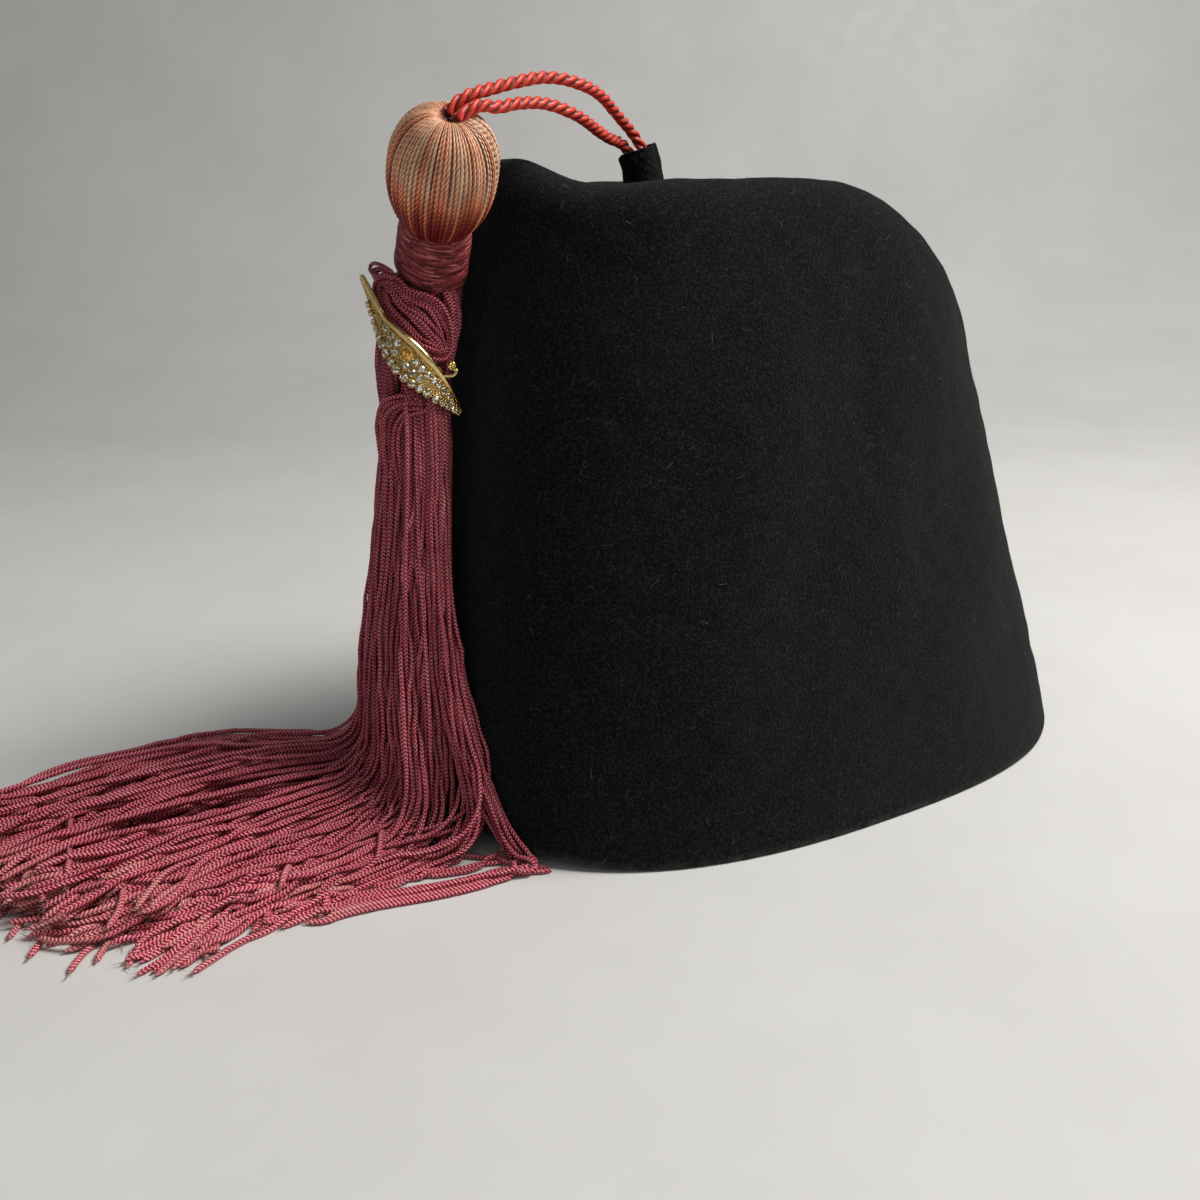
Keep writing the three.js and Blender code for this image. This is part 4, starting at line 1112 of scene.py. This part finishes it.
def strands_mesh(name, paths, material, slot, tones, sides=8, step=1.5, widens=None, fades=None, seed=5, radius=HANGING_RADIUS, **more):
    rng = np.random.default_rng(seed)
    g = Gather()
    edges = np.arange(sides + 1) / sides
    for k, path in enumerate(paths):
        path = resample(spline(path, 0.5), step)
        turn = rng.uniform(0, 6.28)
        run = np.linspace(0, length_of(path), len(path))
        thick = radius if widens is None else radius + (STRAND_RADIUS - radius) * smooth(run, *widens)
        ring, s = tube_rings(path, thick * rng.normal(1, 0.05), sides, turn)
        ring[..., 2] = np.maximum(ring[..., 2], 0.02)
        u = edges + turn
        low, high = (k + 0.04) / len(paths), (k + 0.96) / len(paths)
        tone = np.clip(tones[k] + 0.25 * np.sin(s / 17 + turn), 0, 1)
        # Tone falls along the lying part of each fanned strand, so the strands on the surface are lighter than where
        # they hang: painted light on the lying part, painted shade on the hanging part.
        if widens is not None:
            tone = tone * (1 - 0.75 * smooth(run, 90, 135))
        fade = np.zeros(len(s)) if fades is None else fades[k] * smooth(s, s[-1] - 26, s[-1])
        g.add(ring.reshape(-1, 3), grid_faces(len(path), sides),
              {"tone": np.repeat(tone, sides), "fade": np.repeat(fade, sides)},
              {"strand_uv": grid_uv(u, s + rng.uniform(0, 5)),
               "OFBake": grid_uv(low + edges * (high - low), s / s[-1] * 0.98 + 0.01)[:, ::-1]})
    return g.mesh(name, material, slot, **more)


rng = np.random.default_rng(61)
skirt = np.concatenate([lay_strands(), lay_sweeps()])
skirt = relax(skirt, 2, 90, 1.55, 1.13)
COUNT = len(skirt)
tones = rng.uniform(0, 1.0, COUNT) ** 1.3
fades = rng.uniform(0, 1, COUNT) ** 2 * 0.45
order = np.argsort(skirt[:, -1, 1])
for name, pick in zip(("skirt_near", "skirt_middle", "skirt_far"), np.array_split(order, 3)):
    strands_mesh(name, skirt[pick], CHAINETTE, "chainette", tones[pick], sides=7, step=1.95, fades=fades[pick],
                 widens=(100, 150), seed=62 + len(name), stands_for=("tassel_skirt",))


def frayed_ends():
    """Loose filaments at the cut ends of the strands."""
    rng = np.random.default_rng(66)
    g = Gather()
    for path in skirt:
        tip, way = path[-1], unit(path[-1] - path[-3])
        for _ in range(5):
            size = rng.uniform(0.5, 1.4)
            side = rng.normal(size=3) * 0.55
            side[2] *= 0.4
            start = tip - way * rng.uniform(0.2, 1.6) + rng.normal(size=3) * 0.3
            middle = start + (way + side * 0.6) * size * 0.5
            end = start + (way + side * 1.5) * size
            points = np.array([start, middle, end])
            points[:, 2] = np.maximum(points[:, 2], 0.12)
            points[:, 0] = np.maximum(points[:, 0], FAR_END - 3)
            ring, s = tube_rings(spline(points, count=5), np.linspace(0.11, 0.04, 5), 4, 0.0, 0.0)
            edges = np.arange(5) / 4
            g.add(ring.reshape(-1, 3), grid_faces(5, 4), {"tone": 0.0, "fade": rng.uniform(0.9, 1.0)},
                  {"strand_uv": grid_uv(edges, s), "OFBake": grid_uv(0.2 + edges * 0.6, 0.2 + 0.6 * s / s[-1])})
    g.mesh("skirt_frayed_ends", CHAINETTE, "chainette")


frayed_ends()

# ---------------------------------------------------------------- ruff: loops between the neck and the brooch

RUFF_MIDDLE = np.array([-96.4, 10.2, 126.0])
VIEW_RIGHT = np.array([0.8392, -0.5438, 0.0])
VIEW_NEAR = np.array([-0.5438, -0.8392, 0.0])
HANK = np.array([  # one long loop of the hank, flattened: right and up from the middle of the ruff
    (0.7, -6.6), (-2.9, -2.2), (-6.5, 1.6), (-9.0, 5.0), (-9.7, 8.1), (-8.5, 10.3), (-6.0, 11.3), (-3.2, 10.4), (-1.0, 8.2),
    (2.6, 6.7), (5.7, 5.0), (7.9, 1.6), (8.9, -2.2), (8.7, -5.4), (7.2, -7.2), (4.3, -7.3), (1.9, -6.9),
])
SIDE_LOOP = np.array([(-4.2, 12.0), (-6.8, 13.4), (-9.4, 13.9), (-11.3, 12.8), (-10.9, 11.6), (-9.2, 11.0), (-6.6, 11.6), (-4.0, 10.6)])


def on_ruff(flat, radius):
    right, up = flat[:, 0], flat[:, 1]
    near = np.sqrt(np.maximum(np.asarray(radius) ** 2 - np.minimum(np.abs(right), np.asarray(radius) * 0.985) ** 2, 0.0))
    return (RUFF_MIDDLE + right[:, None] * VIEW_RIGHT + near[:, None] * VIEW_NEAR
            + up[:, None] * np.array([0.04, 0.02, 1.03]))


def build_ruff():
    rng = np.random.default_rng(67)
    middle, across, deep = bundle_frames(RUFF_SECTIONS)
    inner = []
    for k in range(140):
        a = k / 60 * 2 * math.pi + rng.normal(0, 0.05)
        r = rng.uniform(0.74, 0.86) if k < 60 else rng.uniform(0.4, 0.62) if k < 96 else rng.uniform(0.02, 0.4)
        sway = 0.05 * np.sin(np.arange(len(middle)) * rng.uniform(0.6, 1.4) + rng.uniform(0, 6.3))
        grow = RUFF_SECTIONS[:, 3:5] * (r + sway)[:, None]
        turn = a + 0.25 * np.sin(np.arange(len(middle)) * 0.8 + k)
        inner.append(middle + across * (grow[:, 0] * np.cos(turn))[:, None] + deep * (grow[:, 1] * np.sin(turn))[:, None])
    # The inner strands get a high tone, which darkens them as painted shade inside the ruff.
    strands_mesh("ruff_strands", inner, RUFF_THREAD, "chainette", rng.uniform(0.8, 1.3, len(inner)), seed=64, sides=7, step=2.2, radius=0.72,
                 stands_for=("tassel_ruff",))
    loops = []
    upper, lower = np.array([-6.4, 7.4]), np.array([5.4, -4.6])
    along, heart = unit(lower - upper), (upper + lower) / 2
    beside = np.array([-along[1], along[0]])
    sizes = np.linspace(1.0, 0.08, 10)
    part = np.arange(len(HANK)) / len(HANK) * 2 * math.pi
    for k, size in enumerate(sizes):
        flat = HANK - heart
        long, wide = flat @ along, flat @ beside
        long = long * (0.70 + 0.30 * size) + rng.normal(0, 0.7)
        wide = wide * size + rng.normal(0, 0.45) * (1 - size) + 0.5 * np.sin(part * 2 + rng.uniform(0, 6.3)) * (1 - 0.6 * size)
        flat = heart + long[:, None] * along + wide[:, None] * beside + rng.normal(0, 0.14, HANK.shape)
        flat = np.roll(flat, -k * 2, axis=0)
        flat = np.concatenate([flat, flat[:2]])
        loops.append(on_ruff(flat, 11.1 - 1.5 * rng.random() * (k > 0) + 0.25 * np.sin(part[:1] + k)))
    for k in range(5):
        flat = SIDE_LOOP + rng.normal(0, 0.2, SIDE_LOOP.shape)
        flat[1:-1] *= 1 - 0.035 * k
        loops.append(on_ruff(flat, 11.6 - 1.1 * k) + np.array([0.0, 0.0, -0.5 * k]))
    for k in range(5):
        top, low = 6.6 + 0.5 * k, 7.4 + 0.35 * k
        flat = np.array([(top - 1.0, 10.5), (top, 8.0), (low + 0.6, 4.0), (low + 0.8, 0.0), (low, -4.0), (low - 0.8, -9.0)])
        loops.append(on_ruff(flat + rng.normal(0, 0.15, flat.shape), 9.4 + 0.3 * (k % 2)))
    for k in range(16):  # back and far side of the hank
        a = math.pi * (0.16 + 0.88 * k / 15) + rng.normal(0, 0.06)
        side = math.cos(a) * VIEW_RIGHT + -math.sin(a) * VIEW_NEAR
        puff = np.array([(0.92, 136.0), (1.0, 132.0), (1.04, 126.5), (1.02, 120.0), (0.99, 113.5), (0.96, 108.5), (0.88, 104.0)])
        line = []
        for r, z in puff:
            c = np.array([np.interp(z, RUFF_SECTIONS[::-1, 2], RUFF_SECTIONS[::-1, m]) for m in (0, 1)])
            w = np.interp(z, RUFF_SECTIONS[::-1, 2], RUFF_SECTIONS[::-1, 3])
            line.append(np.append(c, z) + side * w * r * 0.93 + rng.normal(0, 0.3, 3))
        loops.append(np.array(line))
    arch = np.array([(-8.0, -11.0), (-8.7, -6.0), (-8.8, -1.0), (-8.2, 2.6), (-6.6, 5.0), (-4.0, 6.2), (-1.4, 6.0), (0.6, 4.4)])
    sunk = np.array([8.6, 9.6, 10.2, 10.4, 10.3, 10.0, 9.2, 8.0])
    for k in range(6):  # strands that rise at the top of the skirt and turn over there
        flat = arch + rng.normal(0, 0.15, arch.shape)
        flat[:, 0] = (flat[:, 0] + 1.1 * k).clip(-8.9, 8.9)
        flat[:, 1] -= 0.7 * k
        flat[0, 1] -= rng.uniform(0, 6)
        loops.append(on_ruff(flat, sunk - 0.5 * (k % 2)) + np.array([-99.0, 9.0, 103.5]) - RUFF_MIDDLE)
    strands_mesh("ruff_loops", loops, RUFF_THREAD, "chainette", rng.uniform(0, 0.55, len(loops)), seed=65, sides=8, step=0.9, radius=0.52)


build_ruff()

# ---------------------------------------------------------------- brooch

BROOCH_MIDDLE = np.array([-99.0, 9.0])
BROOCH_FACE = math.atan2(-0.838, -0.546)
BROOCH_SLOPE = math.radians(30)
BROOCH_LEAF = np.array([  # turn in degrees, height, inner radius, half width, thickness
    (-52, 137.4, 12.4, 0.8, 1.1), (-51, 133.6, 10.7, 1.5, 1.5), (-44, 128.8, 9.3, 2.0, 1.9), (-23, 124.6, 9.5, 2.9, 2.2),
    (-4, 120.8, 10.2, 3.9, 2.4), (13, 116.9, 10.9, 4.1, 2.4), (32, 113.0, 11.0, 3.2, 2.1), (56, 108.4, 10.8, 2.0, 1.7),
    (84, 104.3, 10.9, 0.7, 1.2),
])
CATCH_KNOB = (53, 117.2, 12.7)
CATCH_ROOT = (42, 114.8, 11.6)


def round_bundle(turn, z, radius):
    a = BROOCH_FACE + np.radians(turn)
    return np.stack([BROOCH_MIDDLE[0] + radius * np.cos(a), BROOCH_MIDDLE[1] + radius * np.sin(a), z + 0 * a], -1)


LEAF_DENSE = spline(BROOCH_LEAF, count=400)


def leaf(t, across, out):
    """Point of the leaf: t along it, across from -1 to 1, out in millimetres from its back."""
    t, across, out = np.broadcast_arrays(np.asarray(t, float), np.asarray(across, float), np.asarray(out, float))
    row = [np.interp(t * 399, np.arange(400), LEAF_DENSE[:, k]) for k in range(5)]
    v = across * row[3]
    return round_bundle(row[0] + np.degrees(v * math.cos(BROOCH_SLOPE) / row[2]), row[1] + v * math.sin(BROOCH_SLOPE), row[2] + out)


def leaf_half(t):
    return np.interp(t * 399, np.arange(400), LEAF_DENSE[:, 3])


def build_leaf():
    along = np.linspace(0, 1, 140)
    top = [(-1.0, 0.55), (-0.97, 0.85), (-0.9, 1.0), (-0.8, 1.0), (-0.6, 1.02), (-0.4, 1.08), (-0.2, 1.12), (0.0, 1.15),
           (0.2, 1.15), (0.36, 1.12), (0.44, 1.1), (0.5, 1.5), (0.58, 1.95), (0.68, 2.2), (0.78, 2.2), (0.88, 1.9), (0.95, 1.4), (1.0, 0.8)]
    back = [(1.0, 0.35), (0.9, 0.1), (0.5, 0.0), (0.0, 0.0), (-0.5, 0.0), (-0.9, 0.1), (-1.0, 0.3)]
    scallop = 1 + 0.055 * np.abs(np.sin(along * math.pi * 13))
    rows = []
    for across, out in top + back:
        share = np.interp(leaf_half(along), [0.8, 5.0], [0.55, 1.0])
        stretch = scallop if across < -0.85 else 1.0
        rows.append(leaf(along, across * stretch, out * share))
    grid = np.stack(rows, 1)
    grime = np.array([0.75 if -0.95 < a < 0.47 and o < 1.3 else 0.0 for a, o in top] + [0.3] * len(back))
    return grid, np.broadcast_to(grime, grid.shape[:2])


def lump(at, out, radius, tall, sides=10, rings=4):
    """A small rounded grain of metal standing on a surface."""
    side = unit(np.cross(out, np.array([0.3, 0.2, 0.93])))
    other = np.cross(out, side)
    a = np.arange(sides) / sides * 2 * math.pi
    rows = []
    for k in range(rings + 1):
        turn = k / rings * math.pi / 2
        r, h = radius * math.cos(turn) + 0.01, tall * math.sin(turn)
        rows.append(at + h * out + r * (np.cos(a)[:, None] * side + np.sin(a)[:, None] * other))
    return np.concatenate(rows), grid_faces(rings + 1, sides)[:, ::1]


def cup(at, out, radius, sides=20):
    """A thin raised collar round a stone."""
    side = unit(np.cross(out, np.array([0.3, 0.2, 0.93])))
    other = np.cross(out, side)
    a = np.arange(sides) / sides * 2 * math.pi
    rows = []
    for r, h in ((1.16, -0.25), (1.17, 0.16), (1.12, 0.26), (1.03, 0.27), (0.95, 0.2), (0.92, -0.25)):
        rows.append(at + h * out + radius * r * (np.cos(a)[:, None] * side + np.sin(a)[:, None] * other))
    return np.concatenate(rows), grid_faces(6, sides)


def cut_stone(at, out, radius, turn):
    """A round cut stone: table, two rings of facets, girdle and pavilion."""
    side = unit(np.cross(out, np.array([0.3, 0.2, 0.93])))
    other = np.cross(out, side)
    rows = []
    for r, h, k in ((0.50, 0.52, 0.0), (0.80, 0.36, 0.5), (1.0, 0.10, 0.0), (1.0, 0.02, 0.0), (0.55, -0.38, 0.5), (0.03, -0.62, 0.0)):
        a = (np.arange(8) + k) / 8 * 2 * math.pi + turn
        rows.append(at + out * (h * radius) + radius * r * (np.cos(a)[:, None] * side + np.sin(a)[:, None] * other))
    points = np.concatenate(rows)
    faces = [list(range(7, -1, -1))[::-1]]
    for i in range(5):
        for j in range(8):
            k = (j + 1) % 8
            a, b, c, d = i * 8 + j, i * 8 + k, (i + 1) * 8 + j, (i + 1) * 8 + k
            if i in (0, 3):
                faces += [[a, c, b], [b, c, d]]
            elif i == 1:
                faces += [[a, c, d], [a, d, b]] if False else [[a, c, d, b]]
            else:
                faces += [[a, c, d, b]]
    return points, faces


def build_brooch():
    rng = np.random.default_rng(71)
    gold = Gather()
    grid, grime = build_leaf()
    rows, cols = grid.shape[:2]
    gold.add(grid.reshape(-1, 3), grid_faces(rows, cols), {"grime": grime.ravel()})
    centre_t = np.linspace(0, 1, 400)
    line = leaf(centre_t, -0.85, 1.0)
    s = np.concatenate([[0], np.cumsum(np.linalg.norm(np.diff(line, axis=0), axis=1))])
    clear, topaz = [], []
    taken = []

    def outward(t, across):
        e = 1e-3
        a = leaf(t + e, across, 1.0) - leaf(t - e, across, 1.0)
        b = leaf(t, across + 0.02, 1.0) - leaf(t, across - 0.02, 1.0)
        n = unit(np.cross(a, b))
        p = leaf(t, across, 1.0)
        away = np.array([p[0] - BROOCH_MIDDLE[0], p[1] - BROOCH_MIDDLE[1], 0.0])
        return n if n @ away > 0 else -n

    def set_stone(t, across, radius, raised, kind):
        share = float(np.interp(leaf_half(t), [0.8, 5.0], [0.55, 1.0]))
        p = leaf(t, across, 1.05 * share + raised)
        if any(np.linalg.norm(p - c) < (radius + r) * 1.14 for c, r in taken):
            return
        taken.append((p, radius))
        out = outward(t, across)
        points, faces = cup(p, out, radius)
        gold.add(points, faces, {"grime": 0.15})
        for k in range(4):
            a = k * math.pi / 2 + rng.uniform(0, 1.5)
            side = unit(np.cross(out, np.array([0.3, 0.2, 0.93])))
            at = p + out * 0.12 + radius * 1.02 * (math.cos(a) * side + math.sin(a) * np.cross(out, side))
            points, faces = lump(at, out, 0.22, 0.3, 8, 3)
            gold.add(points, faces, {"grime": 0.0})
        kind.append((p + out * 0.05, out, radius, rng.uniform(0, 3)))

    set_stone(0.40, 0.06, 1.55, 0.35, topaz)
    for across, low, high, radius, raised in ((-0.93, 0.05, 0.93, 0.92, 0.35), (-0.42, 0.12, 0.88, 0.92, 0.2), (0.10, 0.2, 0.8, 0.86, 0.2), (-0.1, 0.1, 0.9, 0.7, 0.15)):
        t = low
        while t < high:
            if leaf_half(t) > 1.7 or across < -0.9:
                set_stone(t, across, radius * (0.8 if leaf_half(t) < 2.6 else 1.0) * rng.uniform(0.92, 1.06), raised, clear)
            t += 0.012
    for _ in range(900):
        t, across = rng.uniform(0.06, 0.95), rng.uniform(-0.95, 0.42)
        r = rng.uniform(0.2, 0.34)
        share = float(np.interp(leaf_half(t), [0.8, 5.0], [0.55, 1.0]))
        p = leaf(t, across, 1.02 * share)
        if any(np.linalg.norm(p - c) < size * 0.9 + r * 1.15 for c, size in taken):
            continue
        taken.append((p, r))
        points, faces = lump(p - 0.05 * outward(t, across), outward(t, across), r, r * 1.1, 8, 3)
        gold.add(points, faces, {"grime": 0.05})
    knob, root = round_bundle(*map(np.float64, CATCH_KNOB)), round_bundle(*map(np.float64, CATCH_ROOT))
    way = unit(knob - root)
    up = unit(np.cross(way, unit(np.array([-0.5186, -0.8003, 0.3]))))
    a = np.arange(24) / 24 * 2 * math.pi
    other = np.cross(way, up)
    rows = []
    for h, r in ((-1.35, 0.05), (-1.3, 0.75), (-1.05, 1.05), (-0.75, 1.1), (-0.6, 0.85), (-0.35, 0.85), (-0.2, 1.15), (0.15, 1.28), (0.55, 1.2), (0.85, 0.85), (0.98, 0.45), (1.02, 0.03)):
        rows.append(knob + way * h + r * (np.cos(a)[:, None] * up + np.sin(a)[:, None] * other))
    gold.add(np.concatenate(rows), grid_faces(len(rows), 24), {"grime": 0.0})
    curl = [root - way * 0.8, root + way * 0.6 + up * 0.8, root + way * 1.9 + up * 1.9, root + way * 3.3 + up * 1.7, knob - way * 0.9 + up * 0.5]
    ring, _ = tube_rings(spline(curl, 0.25), 0.42, 12, 0.0, 0.0)
    gold.add(ring.reshape(-1, 3), grid_faces(len(ring), 12), {"grime": 0.0})
    gold.mesh("brooch_gilt", GILT, "gilt", stands_for=("brooch",))
    for name, stones, material in (("brooch_stones", clear, CLEAR), ("brooch_topaz", topaz, TOPAZ)):
        points, faces, n = [], [], 0
        for at, out, radius, turn in stones:
            p, f = cut_stone(at, out, radius, turn)
            points.append(p)
            faces += [[v + n for v in face] for face in f]
            n += len(p)
        add_mesh(name, np.concatenate(points), faces, material, "gilt", flat=True)


build_brooch()

# ---------------------------------------------------------------- floor, backdrop and light


def build_stage():
    line = [(-1.6, 0.0)] + [(x, 0.0) for x in np.linspace(-1.2, 0.55, 8)]
    line += [(0.55 + 0.45 * math.sin(a), 0.45 * (1 - math.cos(a))) for a in np.linspace(0, math.pi / 2, 20)[1:]]
    line += [(1.0, 0.9), (1.0, 1.8)]
    back = np.array([0.5438, 0.8392])
    side = np.array([0.8392, -0.5438])
    points = []
    for d, z in line:
        for w in np.linspace(-2.2, 2.2, 9):
            x, y = back * d + side * w
            points.append((x * 1000, y * 1000, z * 1000))
    floor = add_mesh("floor", points, grid_faces(len(line), 9, wrap=False), FLOOR)


def area_light(name, location, target, size, power, colour=(1.0, 1.0, 1.0)):
    data = bpy.data.lights.new(name, "AREA")
    data.shape = "RECTANGLE"
    data.size, data.size_y = size
    data.energy = power
    data.color = colour
    obj = bpy.data.objects.new(name, data)
    obj.location = location
    obj.rotation_euler = (Vector(target) - Vector(location)).to_track_quat("-Z", "Y").to_euler()
    bpy.context.scene.collection.objects.link(obj)


bpy.context.scene.view_settings.view_transform = "Standard"
build_stage()
area_light("key", (0.46, -0.34, 0.92), (-0.05, 0.0, 0.03), (0.5, 0.45), 15.2, (1.0, 0.985, 0.955))
area_light("fill", (-0.75, -0.55, 0.55), (-0.05, 0.0, 0.06), (0.9, 0.7), 0.6, (0.94, 0.97, 1.0))
world = bpy.data.worlds.new("studio")
world.use_nodes = True
world.node_tree.nodes["Background"].inputs[0].default_value = rgb(0.93, 0.96, 1.0)
world.node_tree.nodes["Background"].inputs[1].default_value = 0.22
bpy.context.scene.world = world
